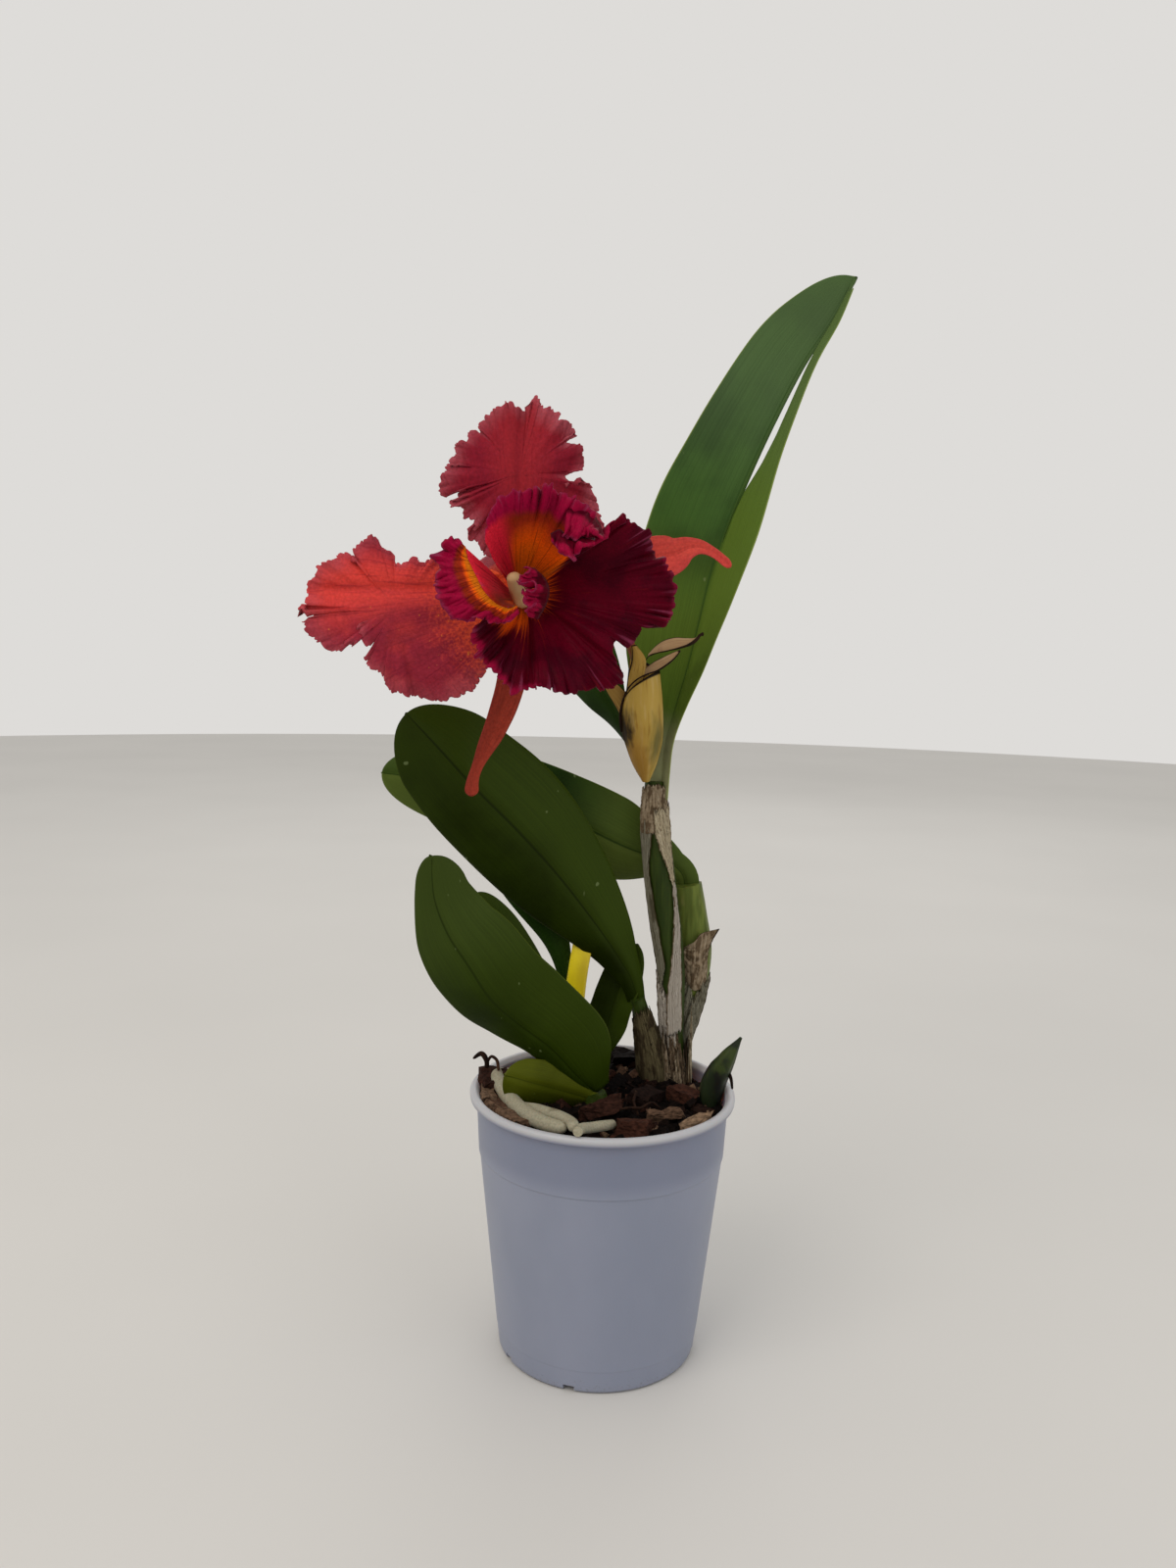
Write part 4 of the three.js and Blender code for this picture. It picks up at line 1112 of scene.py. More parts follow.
@dataclass
class Petal(Piece):
    """A ruffled petal: a disc that spreads from its middle out to its margin."""

    centre: tuple[float, float]
    margin: list[tuple[float, float]]
    bend: Callable[[np.ndarray, np.ndarray], np.ndarray]  # how far forward it stands at x and y
    claw: tuple[float, float]  # where its veins start
    heading: float  # which way its middle vein runs
    reach: float  # how long that is
    fold: float = 3.6
    rays: int = 760
    rings: int = 34
    seed: float = 1.0

    def form(self) -> Thing:
        """The petal with its frill and thickness."""
        edge = Path([(x, y, 0.0) for x, y in self.margin], closed=True)
        u = np.linspace(0, 1, self.rays, endpoint=False)
        rim = edge.at(u)[:, :2]
        middle = np.asarray(self.centre, float)
        r = np.linspace(0, 1, self.rings) ** 0.8
        flat = middle + (rim - middle)[None] * r[:, None, None]
        x, y = flat[..., 0], flat[..., 1]
        from_claw = flat - np.asarray(self.claw, float)
        fan = np.arctan2(from_claw[..., 1], from_claw[..., 0]) - self.heading
        fan = (fan + math.pi) % (2 * math.pi) - math.pi
        far = np.linalg.norm(from_claw, axis=-1) / self.reach
        channels = 0.8 * ripple(fan / 2.4 + 0.5, 7, int(self.seed)) * np.clip(far, 0, 1)
        groove = -1.3 * np.exp(-((fan * far * self.reach / 2.2) ** 2))
        height = self.bend(x, y) + (channels + groove) * np.clip(far * 2, 0, 1)
        points = np.dstack([x, y, height])
        calm = np.minimum(1, np.minimum(14 * u, 14 * (1 - u)))
        shape = r[:, None] * np.ones_like(u)
        outward = np.zeros_like(points)
        outward[..., :2] = unit(rim - middle)[None]
        marks = {
            "margin": shape, "turn": np.ones_like(r)[:, None] * u,
            "calm": np.ones_like(r)[:, None] * calm, "outward": outward,
        }
        sheet = Sheet(points, np.dstack([fan / 1.6, far]), 0.8, 1 - 0.6 * shape**4, marks, closed=True)
        return frilled(
            self, sheet, edge.lengths[-1], Fold=self.fold * MM, Fold_length=0.022, Crisp=0.0014,
            Crisp_length=0.006, Swell=0.0005, Cleft=0.001, Cleft_length=0.0045, Sway=0.0012,
            Sway_length=0.006, Seed=self.seed,
        )


@dataclass(frozen=True)
class Look:
    """What the lip's tissue is like, from its throat out to its margin."""

    calm: float = 1.0  # how far it may frill
    warm: float = 0.15  # how far out the warm colour reaches
    gold: float = 0.5  # brown, orange or amber
    blush: float = 0.0  # how much of the warm colour is pinkish red instead
    frill: float = 0.0  # how far in the ruby margin reaches
    rim: float = 0.15  # how strong the painted highlight on its very edge is


@dataclass(frozen=True)
class Station:
    """A place on the lip's margin, and the tissue on the way out to it."""

    at: Triple
    angle: float  # of its line of growth at the throat, in degrees
    look: Look


@dataclass
class Lip(Piece):
    """The lip: one sheet from a tube round the column out to its lobes."""

    stations: list[Station]
    tube: tuple[Triple, float] = ((1.0, -1.0, 3.0), 5.2)  # where its foot is, and how wide
    throat: tuple[Triple, float] = ((5.0, 0.0, 19.0), 9.5)  # the same of its throat
    rays: int = 960
    rings: int = 44

    def form(self) -> Thing:
        """The lip with its frill and thickness."""
        u = np.linspace(0, 1, self.rays)
        edge = Path([station.at for station in self.stations])
        rim = edge.by_span(u)
        at = np.linspace(0, 1, len(self.stations))

        def spread(values: list[float]) -> np.ndarray:
            """A number of each station for every ray, a little smoothed."""
            near = [np.interp(np.clip(u + d, 0, 1), at, values) for d in np.linspace(-0.015, 0.015, 7)]
            return np.mean(near, axis=0)

        looks = [vars(station.look) for station in self.stations]
        tissue = {key: spread([look[key] for look in looks]) for key in looks[0]}
        angle = np.radians(spread([station.angle for station in self.stations]))
        heading = np.stack([np.cos(angle), np.sin(angle), np.zeros_like(angle)], -1)
        root = np.asarray(self.tube[0]) + heading * self.tube[1]
        throat = np.asarray(self.throat[0]) + heading * self.throat[1]
        outwards = (rim - throat) * (1, 1, 0)
        bend = rim - 0.4 * outwards
        bend[:, 2] += np.minimum(3, 0.12 * np.linalg.norm(outwards, axis=-1))
        r = (np.linspace(0, 1, self.rings) ** 0.85)[:, None, None]
        left = 1 - r
        points = root * left**3 + 3 * throat * r * left**2 + 3 * bend * r**2 * left + rim * r**3
        shape = np.broadcast_to(r[..., 0], points.shape[:2])
        ones = np.ones((self.rings, 1))
        marks = {
            "margin": shape, "turn": ones * u * 0.9, "calm": ones * tissue["calm"],
            "outward": np.broadcast_to(unit(outwards), points.shape),
            "warm": np.clip(0.5 + (tissue["warm"] - shape) / 0.35, 0, 1),
            "gold": tissue["gold"] * np.clip(1.7 - 1.5 * shape, 0, 1), "blush": ones * tissue["blush"],
            "frill": np.clip(0.5 + (shape - 1 + tissue["frill"]) / 0.16, 0, 1),
            # painted highlight on the very edge
            "rim": tissue["rim"] * smooth(0.96, 1.0, shape),
        }
        uv = np.dstack([ones * angle / (2 * math.pi), shape])
        sheet = Sheet(points, uv, 0.9, 1 - 0.55 * shape**4, marks)
        return frilled(
            self, sheet, edge.lengths[-1] / 0.9, Fold=0.0045, Fold_length=0.018, Crisp=0.0026,
            Crisp_length=0.0055, Swell=0.0012, Cleft=0.0012, Cleft_length=0.0055, Sway=0.0022,
            Sway_length=0.0055, Seed=4.0,
        )


@dataclass
class Curl(Piece):
    """A frilled fold of the lip that stands forward, from the line where it rises to its margin."""

    root: list[Triple]
    margin: list[Triple]
    look: Look = Look()
    bulge: float = 2.0  # how far forward it stands halfway out
    fold: float = 3.0  # how high its ruffles are
    length: float = 6.5  # how long one of them is
    swell: float = 2.0  # how far its edge goes in and out
    seed: float = 1.0
    rays: int = 200
    rings: int = 18

    def form(self) -> Thing:
        """The fold with its frill and thickness."""
        u = np.linspace(0, 1, self.rays)
        r = (np.linspace(0, 1, self.rings) ** 0.7)[:, None, None]
        edge = Path(self.margin)
        root, rim = Path(self.root).by_span(u), edge.by_span(u)
        points = root * (1 - r) + rim * r
        points[..., 2] += self.bulge * np.sin(math.pi * r[..., 0])
        shape = np.broadcast_to(r[..., 0], points.shape[:2])
        flat = np.ones_like(shape)
        marks = {
            "margin": shape, "turn": flat * u * 0.9,
            "calm": flat * np.minimum(1, 9 * np.minimum(u, 1 - u)),
            "outward": np.broadcast_to(unit(rim - root), points.shape),
            "warm": np.clip(0.5 + (self.look.warm - shape) / 0.35, 0, 1),
            "gold": self.look.gold * (0.25 + 0.75 * smooth(0.3, 0.06, shape)),
            "blush": flat * self.look.blush,
            "frill": np.clip(0.5 + (shape - 1 + self.look.frill) / 0.3, 0, 1),
            # painted highlight on the very edge
            "rim": self.look.rim * smooth(0.88, 0.97, shape),
        }
        uv = np.dstack([flat * u * edge.lengths[-1] / 220, shape])
        sheet = Sheet(points, uv, 0.7, 1 - 0.5 * shape**4, marks)
        return frilled(
            self, sheet, edge.lengths[-1] / 0.9, Fold=self.fold * MM, Fold_length=self.length * MM,
            Fold_depth=1.0, Crisp=0.0014, Crisp_length=0.004, Swell=self.swell * MM, Cleft=0.0008,
            Cleft_length=0.005, Sway=0.0026, Sway_length=0.005, Seed=self.seed,
        )


@dataclass
class Stem(Piece):
    """A round stem along a curve: a pseudobulb, the shoot, a root, the stalk or the column."""

    through: list[Triple]
    radii: list[float]
    furrows: float = 9.0  # how many there are round it
    furrow_depth: float = 0.25
    wrinkle: float = 0.2
    wrinkle_scale: float = 260.0  # wrinkles a metre
    stretch: float = 0.15  # the share of that number along z
    rows: int = 60
    sides: int = 28
    round_end: bool = False

    def girths(self, t: np.ndarray) -> np.ndarray:
        """The radius at shares of its length."""
        stations = np.linspace(0, 1, len(self.radii))
        smoothed = np.linspace(-0.05, 0.05, 7)
        girth = np.mean([np.interp(np.clip(t + d, 0, 1), stations, self.radii) for d in smoothed], 0)
        if self.round_end:
            girth = girth * np.sqrt(np.clip(1 - ((t - 0.94) / 0.06).clip(0, 1) ** 2, 0.0004, 1))
        return girth

    def form(self) -> Thing:
        """The stem's skin."""
        t = np.linspace(0, 1, self.rows)
        if self.round_end:
            t = 1 - (1 - t) ** 1.6
        girth = self.girths(t)
        mesh = bpy.data.meshes.new(self.name)
        line = Path(self.through).at(t) * MM
        mesh.from_pydata(line.tolist(), [(i, i + 1) for i in range(self.rows - 1)], [])
        for key, values in (("girth", girth * MM), ("free", np.minimum(girth / max(self.radii), 1))):
            mesh.attributes.new(key, "FLOAT", "POINT").data.foreach_set("value", values)
        piece = placed(self.name, mesh)
        SwellingStem().apply(
            piece, self.finish.material(), Sides=self.sides, Furrows=self.furrows,
            Furrow_depth=self.furrow_depth * MM, Wrinkle=self.wrinkle * MM,
            Wrinkle_scale=self.wrinkle_scale, Stretch=self.stretch,
        )
        return bake(piece, self.place)


@dataclass
class Root(Stem):
    """A smooth root with a round end."""

    furrow_depth: float = 0.0
    wrinkle: float = 0.02
    wrinkle_scale: float = 120.0
    stretch: float = 1.0
    rows: int = 90
    round_end: bool = True


@dataclass
class Seam(Stem):
    """The thickened dark edge of a dry sheath."""

    furrow_depth: float = 0.0
    wrinkle: float = 0.08
    sides: int = 8


@dataclass
class Sheath(Piece):
    """A papery sheath round a pseudobulb: a patch of its skin, torn at its edges."""

    bulb: Stem
    bottoms: tuple[float, ...]  # where it starts on the bulb, at even shares across
    tops: tuple[float, ...]
    start: tuple[float, ...]  # degrees round the bulb of its left edge, at even shares up it
    end: tuple[float, ...]
    lift: tuple[float, float] = (0.9, 0.9)  # how far off the bulb it is, low down and at its top
    ragged: float = 0.02  # how deep its top is torn, as a share of the bulb's length
    seed: int = 1
    rows: int = 70
    columns: int = 56

    def form(self) -> Thing:
        """The sheath with its thickness."""
        path = Path(self.bulb.through)
        v = np.linspace(0, 1, self.rows)[:, None]
        a = np.linspace(0, 1, self.columns)[None]

        def along(values: Sequence[float], share: np.ndarray) -> np.ndarray:
            """Values at even shares, joined up."""
            return np.interp(share, np.linspace(0, 1, len(values)), values)

        torn = self.ragged * (
            np.abs(ripple(a, 6, self.seed)) + 0.6 * np.abs(ripple(a, 19, self.seed + 1))
        )
        frayed = 0.5 * self.ragged * np.abs(ripple(a, 13, self.seed + 5))
        low, high = along(self.bottoms, a) - frayed, along(self.tops, a) - torn
        t = low + (high - low) * v
        centre = path.at(t)
        angle = np.radians(along(self.start, v) * (1 - a) + along(self.end, v) * a)
        angle += 0.05 * ripple(v, 5, self.seed + 2) * (a - 0.5) + 0.02 * ripple(v, 17, self.seed + 6)
        fluff = 0.3 * ripple(a, 7, self.seed + 3) + 0.2 * ripple(v + a, 6, self.seed + 4)
        radius = self.bulb.girths(t) + np.interp(v, [0, 1], self.lift) + fluff * (0.3 + 0.7 * v)
        out = np.dstack([np.cos(angle), np.sin(angle), np.zeros_like(angle)])
        points = (centre + out * radius[..., None])[::-1]
        uv = np.dstack([np.broadcast_to(a, t.shape), np.broadcast_to(v, t.shape)])[::-1]
        return Sheet(points, uv, 0.35).solid(self.name)


@dataclass
class Loft(Piece):
    """A dry sheet through ribs, each a line from its base up to its end."""

    ribs: list[list[Triple]]
    thickness: float = 0.4
    rough: float = 0.25
    rows: int = 70
    columns: int = 40

    def form(self) -> Thing:
        """The sheet with its thickness."""
        v, a = np.linspace(0, 1, self.rows), np.linspace(0, 1, self.columns)
        lines = np.stack([Path(rib).by_span(v) for rib in self.ribs])
        points = np.stack([Path(lines[:, i]).by_span(a) for i in range(self.rows)])
        across = np.broadcast_to(a, points.shape[:2])
        along = np.broadcast_to(v[:, None], points.shape[:2])
        bumps = self.rough * (ripple(across, 7, 3) + ripple(along, 5, 4))
        points[..., 1] += bumps * np.sin(math.pi * along)
        return Sheet(points, np.dstack([across, along]), self.thickness).solid(self.name)


@dataclass
class Pot(Piece):
    """The pot: a thin tapered shell with a rolled rim, a ring step and drain notches."""

    height: float = 120.0
    base: float = 45.0
    rim: float = 60.0
    wall: float = 1.3
    floor: float = 2.2
    step_height: float = 91.5
    step: float = 0.5
    step_radius: float = 55.0
    neck: float = 56.8
    rim_depth: float = 3.4
    sides: int = 176
    notch_first: float = 255.5
    notch_pitch: float = 45.0
    notches: int = 7
    notch: Triple = (0.009, 0.005, 0.0052)  # the cutter, in metres
    sharp_from: float = 38.0  # degrees between faces

    def profile(self) -> list[tuple[float, float, float]]:
        """Corners as radius, height and how round each is."""
        under = self.height - self.rim_depth
        return [
            (0.0, 0.0, 0.0), (self.base - 2.2, 0.0, 0.3), (self.base - 1.6, 0.7, 0.2),
            (self.base - 0.9, 0.0, 0.3), (self.base, 0.9, 0.5), (self.base + 1.05, 10.0, 0.3),
            (self.base + 1.25, 10.5, 0.3), (self.step_radius, self.step_height, 0.3),
            (self.step_radius + self.step, self.step_height + self.step, 0.4), (self.neck, under, 0.5),
            (self.rim - 0.3, under - 0.2, 0.5), (self.rim, self.height - 1.2, 0.6),
            (self.rim - 1.0, self.height, 1.0), (self.neck + 0.3, self.height, 0.9),
            (self.neck - self.wall, self.height - 2.0, 0.8),
            (self.step_radius - self.wall, self.step_height, 0.3),
            (self.base - self.wall, self.floor, 1.0), (0.0, self.floor, 0.0),
        ]

    def form(self) -> Thing:
        """The shell with its notches cut."""
        corners = [np.array(corner) for corner in self.profile()]
        line = []
        for k, corner in enumerate(corners):
            if corner[2] == 0:
                line.append(corner[:2])
                continue
            before, after = corners[k - 1][:2], corners[k + 1][:2]
            at = corner[:2]
            start = at + unit(before - at) * min(corner[2], 0.45 * np.linalg.norm(before - at))
            end = at + unit(after - at) * min(corner[2], 0.45 * np.linalg.norm(after - at))
            for w in (0, 0.25, 0.5, 0.75, 1):
                line.append(start * (1 - w) ** 2 + 2 * at * w * (1 - w) + end * w**2)
        radius, height = np.array(line).T
        turn = -np.linspace(0, 2 * math.pi, self.sides, endpoint=False)
        uneven = 0.1 * np.cos(2 * turn + 1)
        wide, tall = radius[:, None], height[:, None]
        between = (tall > 3) & (tall < 112)  # its foot and rim stay true
        reach = wide + uneven * np.minimum(wide / self.base, 1) * between
        level = np.broadcast_to(tall, reach.shape)
        points = np.dstack([reach * np.cos(turn), reach * np.sin(turn), level])
        share = np.linspace(0, 1, self.sides, endpoint=False)
        uv = np.dstack([np.broadcast_to(share, reach.shape), level / self.height])
        piece = Sheet(points, uv, 0, closed=True).piece(self.name)
        cutters = bmesh.new()
        for k in range(self.notches):
            heading = math.radians(self.notch_first - self.notch_pitch * k)
            place = Matrix.Rotation(heading, 4, "Z") @ Matrix.Translation((self.base * MM, 0, 0))
            size = Matrix.Diagonal((*self.notch, 1))
            bmesh.ops.create_cube(cutters, size=1, matrix=place @ size)
        mesh = bpy.data.meshes.new("notches")
        cutters.to_mesh(mesh)
        cutters.free()
        cutter = placed("notches", mesh)
        cut = piece.modifiers.new("notches", "BOOLEAN")
        cut.object = cutter
        cut.operation = "DIFFERENCE"
        cut.solver = "EXACT"
        bake(piece)
        bpy.data.objects.remove(cutter)
        piece.data.set_sharp_from_angle(angle=math.radians(self.sharp_from))
        return piece


@dataclass(frozen=True)
class Chip:
    """One chip of bark that lies in view."""

    at: Triple
    size: Triple
    heading: float  # degrees about the upright axis
    tilt: tuple[float, float]  # degrees about its own x and y
    tone: float  # 0 is near-black, 1 is pale


@dataclass
class Bark(Piece):
    """The filling: a mound of soil under strewn bark, with the chips that stand out most."""

    key_chips: list[Chip]
    top: float = 112.0
    mound: float = 5.0
    edge: float = 54.6
    clear: float = 45.0  # no big flake lies past this radius
    rings: int = 22
    foot: tuple[float, float] = (44.0, 43.5)  # the skirt's radii at its foot
    floor: float = 2.7
    seed: int = SEED

    def height(self, x: np.ndarray, y: np.ndarray) -> np.ndarray:
        """How high the soil lies at a place."""
        flatter = 1 - (x * x + y * y) / 4000
        rough = 1.2 * np.sin(0.42 * x + 1) * np.sin(0.37 * y - 0.5)
        return self.top + self.mound * smooth(-10, 30, y) * flatter + rough

    def soil(self) -> Sheet:
        """The soil's top and its skirt down the pot's wall."""
        turn = np.linspace(0, 2 * math.pi, 96, endpoint=False)
        top = np.linspace(0, self.edge, self.rings)
        reach = np.concatenate([top, [self.edge, *self.foot, 0.0]])
        x, y = reach[:, None] * np.cos(turn), reach[:, None] * np.sin(turn)
        z = self.height(x, y)
        z[self.rings :] = np.array([self.top - 3, 30.0, self.floor, self.floor])[:, None]
        shape = z.shape
        marks = {
            "room": np.where((reach[:, None] < self.clear) & (z > 100), 1.0, 0.0) * np.ones(shape),
            "small": np.where((reach[:, None] < self.edge - 3.5) & (z > 100), 1.0, 0.0) * np.ones(shape),
            "chip": np.full(shape, 0.12), "fixed": np.ones(shape),
        }
        return Sheet(np.dstack([x, y, z]), np.dstack([x, y]) / 100, 0, None, marks, closed=True)

    def form(self) -> Thing:
        """Soil and chips as one mesh."""
        piece = self.soil().piece(self.name)
        shape = bmesh.new()
        shape.from_mesh(piece.data)
        tone = shape.verts.layers.float["chip"]
        fixed = shape.verts.layers.float["fixed"]
        random = np.random.default_rng(self.seed)
        for chip in self.key_chips:
            place = Matrix.Translation(Vector(chip.at) * MM)
            place = place @ Matrix.Rotation(math.radians(chip.heading), 4, "Z")
            place = place @ Matrix.Rotation(math.radians(chip.tilt[1]), 4, "Y")
            place = place @ Matrix.Rotation(math.radians(chip.tilt[0]), 4, "X")
            place = place @ Matrix.Diagonal((*(Vector(chip.size) * MM), 1))
            made = bmesh.ops.create_cube(shape, size=1)["verts"]
            for vertex in made:
                vertex.co += Vector(random.uniform(-0.16, 0.16, 3))
            edges = list({edge for vertex in made for edge in vertex.link_edges})
            bmesh.ops.subdivide_edges(shape, edges=edges, cuts=3, use_grid_fill=True)
            fresh = [vertex for vertex in shape.verts if vertex[tone] == 0]
            for vertex in fresh:
                vertex[tone] = chip.tone
                vertex[fixed] = 0.0
            bmesh.ops.transform(shape, matrix=place, verts=fresh)
        shape.to_mesh(piece.data)
        shape.free()
        Flakes().apply(piece, self.finish.material(), Seed=self.seed)
        bake(piece)
        piece.data.shade_flat()
        return piece


# ---- the plant -------------------------------------------------------------------------------

SOFT = {"IOR": 1.4, "Specular_IOR_Level": 0.2, "Subsurface_Weight": 0.1, "Subsurface_Scale": 0.0015}
PETAL = {"IOR": 1.4, "Specular_IOR_Level": 0.06, "Subsurface_Weight": 0.12, "Subsurface_Scale": 0.0015}
VELVET = {"IOR": 1.4, "Specular_IOR_Level": 0.05, "Sheen_Weight": 0.03, "Sheen_Roughness": 0.35}
WAX = {"IOR": 1.45, "Specular_IOR_Level": 0.07}
DRY = {"Specular_IOR_Level": 0.08}

LEAF_TALL = WaxyLeaf(
    "leaf wax skin, tall", 0.45, 0.12, WAX, "#385620", "#284216", "#586e22", "#2c4812", "#8c9a50",
    lit_from=0.5, lit_to=0.6, lit_share=0.75, foot_share=0.75, tip="#4c5f46", tip_sheen_share=0.42,
    stalk="#92946a", stalk_share=0.95,
)
LEAF_DARK = WaxyLeaf(
    "leaf wax skin, dark", 0.45, 0.12, WAX, "#202c02", "#151e00", "#303f08", "#0e1600", "#3e4a14",
    lit_from=0.3, lit_to=0.75, lit_share=0.8,
)
LEAF_FRONT = WaxyLeaf(
    "leaf wax skin, front", 0.45, 0.12, WAX, "#243204", "#182400", "#2e3c06", "#1c2604", "#4a5618",
    lit_from=0.2, lit_to=0.8, lit_share=0.6, tip="#3c4a1c", tip_sheen_share=0.6,
)
LEAF_BACK = WaxyLeaf(
    "leaf wax skin, shaded", 0.45, 0.12, WAX, "#26400e", "#1a2e08", "#344e16", "#223a10", "#4c5c28",
    lit_from=0.2, lit_to=0.9, lit_share=0.5,
)
LEAF_LONG = WaxyLeaf(
    "leaf wax skin, long", 0.45, 0.12, WAX, "#28420e", "#1a2e08", "#627030", "#223a10", "#6c7a38",
    lit_from=0.54, lit_to=0.44, lit_share=0.55, foot_share=0.45,
)
LEAF_OLIVE = WaxyLeaf(
    "leaf wax skin, olive", 0.45, 0.12, WAX, "#434a08", "#333a04", "#565c12", "#2a3202", "#5c5c22",
    lit_from=0.1, lit_to=0.9, lit_share=0.4,
)
BULB = Tissue("pseudobulb skin", 0.5, 0.2, SOFT, "#303e0e", "#223008", "#505228", 0.68)
BULB_LIT = Tissue("pseudobulb skin in light", 0.5, 0.2, SOFT, "#65712e", "#4c581e", "#7a7c44", 0.6)
BULB_DRY = Tissue("dry pseudobulb skin", 0.7, 0.5, DRY, "#5c5240", "#352c20", "#7c7464", 0.52)
SHOOT = Tissue(
    "young shoot skin", 0.45, 0.25, SOFT, "#26301c", "#1c1c18", "#3a4620", grain=(160, 160, 60),
)
ROOT = Tissue("root velamen", 0.7, 0.03, SOFT, "#a29c86", "#8e8974", "#5c543c", 0.7, (1100, 1100, 1100))
STALK = Tissue("flower stalk skin", 0.45, 0.2, SOFT, "#8a4a28", "#643e1e", "#7c6430")
COLUMN = Tissue("column tissue", 0.35, 0.05, SOFT, "#d8b888", "#c8a274", "#dcc098", grain=(60, 60, 40))
PAPER = DryPaper(
    "mottled dry sheath paper", 0.8, 0.16, DRY, "#80705a", "#9c8e78", "#463624", "#2a1e14", 0.04, 0.53,
    mottle=480,
)
PAPER_OLIVE = DryPaper(
    "olive dry sheath paper", 0.8, 0.4, DRY, "#4e4630", "#6c6248", "#2a2014", "#1c140c", 0.05, 0.53,
    mottle=260,
)
PAPER_PALE = DryPaper(
    "pale dry sheath paper", 0.8, 0.25, DRY, "#9c9488", "#b0a89e", "#74685a", "#5c4c38", 0.07, 0.72,
)
PAPER_BEIGE = DryPaper(
    "beige dry sheath paper", 0.8, 0.25, DRY, "#a2967c", "#b8ac94", "#786a54", "#5c4c38", 0.07, 0.7,
)
PAPER_GREY = DryPaper(
    "grey dry sheath paper", 0.8, 0.3, DRY, "#6c6858", "#848070", "#443e2c", "#38301c", 0.08, 0.6,
)
PAPER_BROWN = DryPaper(
    "brown dry sheath paper", 0.85, 0.5, DRY, "#5c4c3a", "#847460", "#2c2016", "#170e08", 0.1, 0.55,
)
SPATHE = DryPaper(
    "dried spathe", 0.5, 0.12, DRY, "#a4843c", "#a4864a", "#80602a", "#1c100a", 0.012, 0.7, 9, 0.03,
)
SPATHE_BODY = Parchment(
    "dried spathe, stained and shaded", 0.5, 0.12, DRY, "#ae9044", "#b89c5c", "#94702e", "#1c100a", 0.012, 0.7, 9,
    0.03,
)
SPATHE_FLAP = DryPaper(
    "dried spathe, inner face", 0.6, 0.12, DRY, "#a88862", "#b89c78", "#906c52", "#281812", 0.1, 0.7, 12,
    0.08,
)
BRACT = DryPaper("dried bract", 0.6, 0.12, DRY, "#94743a", "#a8884c", "#583014", "#2c180c", 0.06, 0.66, 9)
PETAL_UPPER = PetalTissue(
    "petal tissue, upper", 0.55, 0.25, PETAL, "#821a2a", "#9a262e", "#a85660", flush_reach=0.3,
)
PETAL_LEFT = PetalTissue(
    "petal tissue, left", 0.55, 0.25, PETAL, "#962a3a", "#dc463c", "#a44a54", "#741a2e", "#862a38",
    "#e0562e", 0.6, heart_at=-0.02, speck_share=0.5,
)
SEPAL = PetalTissue(
    "sepal tissue", 0.5, 0.15, PETAL, "#c4443e", "#cc5040", "#b44240", "#a03432", "#b03a38", "#cc543c",
    0.3, 14,
)
SEPAL_LOWER = PetalTissue(
    "sepal tissue, shaded", 0.5, 0.15, PETAL, "#8e3426", "#9a3e2a", "#80302a", "#6c241c", "#702620",
    "#9a3c26", 0.3, 14,
)
LIP = LipTissue("lip tissue", 0.45, 0.2, VELVET)
MARGIN = Tissue("dried spathe margin", 0.7, 0.1, DRY, "#2c1a10", "#160c08", "#4a3020", 0.64)
POT = Polypropylene("moulded polypropylene", 0.42, 0.03, {"IOR": 1.49, "Subsurface_Weight": 0.05})
TAG = Polystyrene("plant tag polystyrene", 0.4, 0.03, {})
BARK = BarkChip("composted bark", 0.9, 0.8, DRY)
FLOOR = Plaster("matt plaster", 0.8, 0.2, {})

TALL = Stem(
    "pseudobulb_tall", Slot.BULB, BULB,
    [
        (34.8, 26, 109), (32.4, 27, 138), (30.4, 28, 171), (25.1, 28.5, 209), (20.9, 28, 242),
        (20.4, 28, 257),
    ],
    [4.2, 5.2, 6.2, 6.8, 6.6, 6.2, 4.2],
)
BACK = Stem(
    "pseudobulb_back", Slot.BULB, BULB_LIT,
    [
        (33, 35, 109), (34.6, 37, 129), (39.8, 40, 155), (42, 41.5, 175), (40, 42.5, 190),
        (37.2, 42.5, 206),
    ],
    [3.8, 6, 8, 9, 8.6, 8.2, 7.6],
)
MID = Stem(
    "pseudobulb_mid", Slot.BULB, BULB,
    [(24.6, 28, 109), (24, 27, 119.6), (22, 26, 129.5), (18.8, 24.5, 142), (15.2, 23, 155)],
    [5.6, 6.2, 5.4, 4.4, 3.4], furrow_depth=0.15,
)
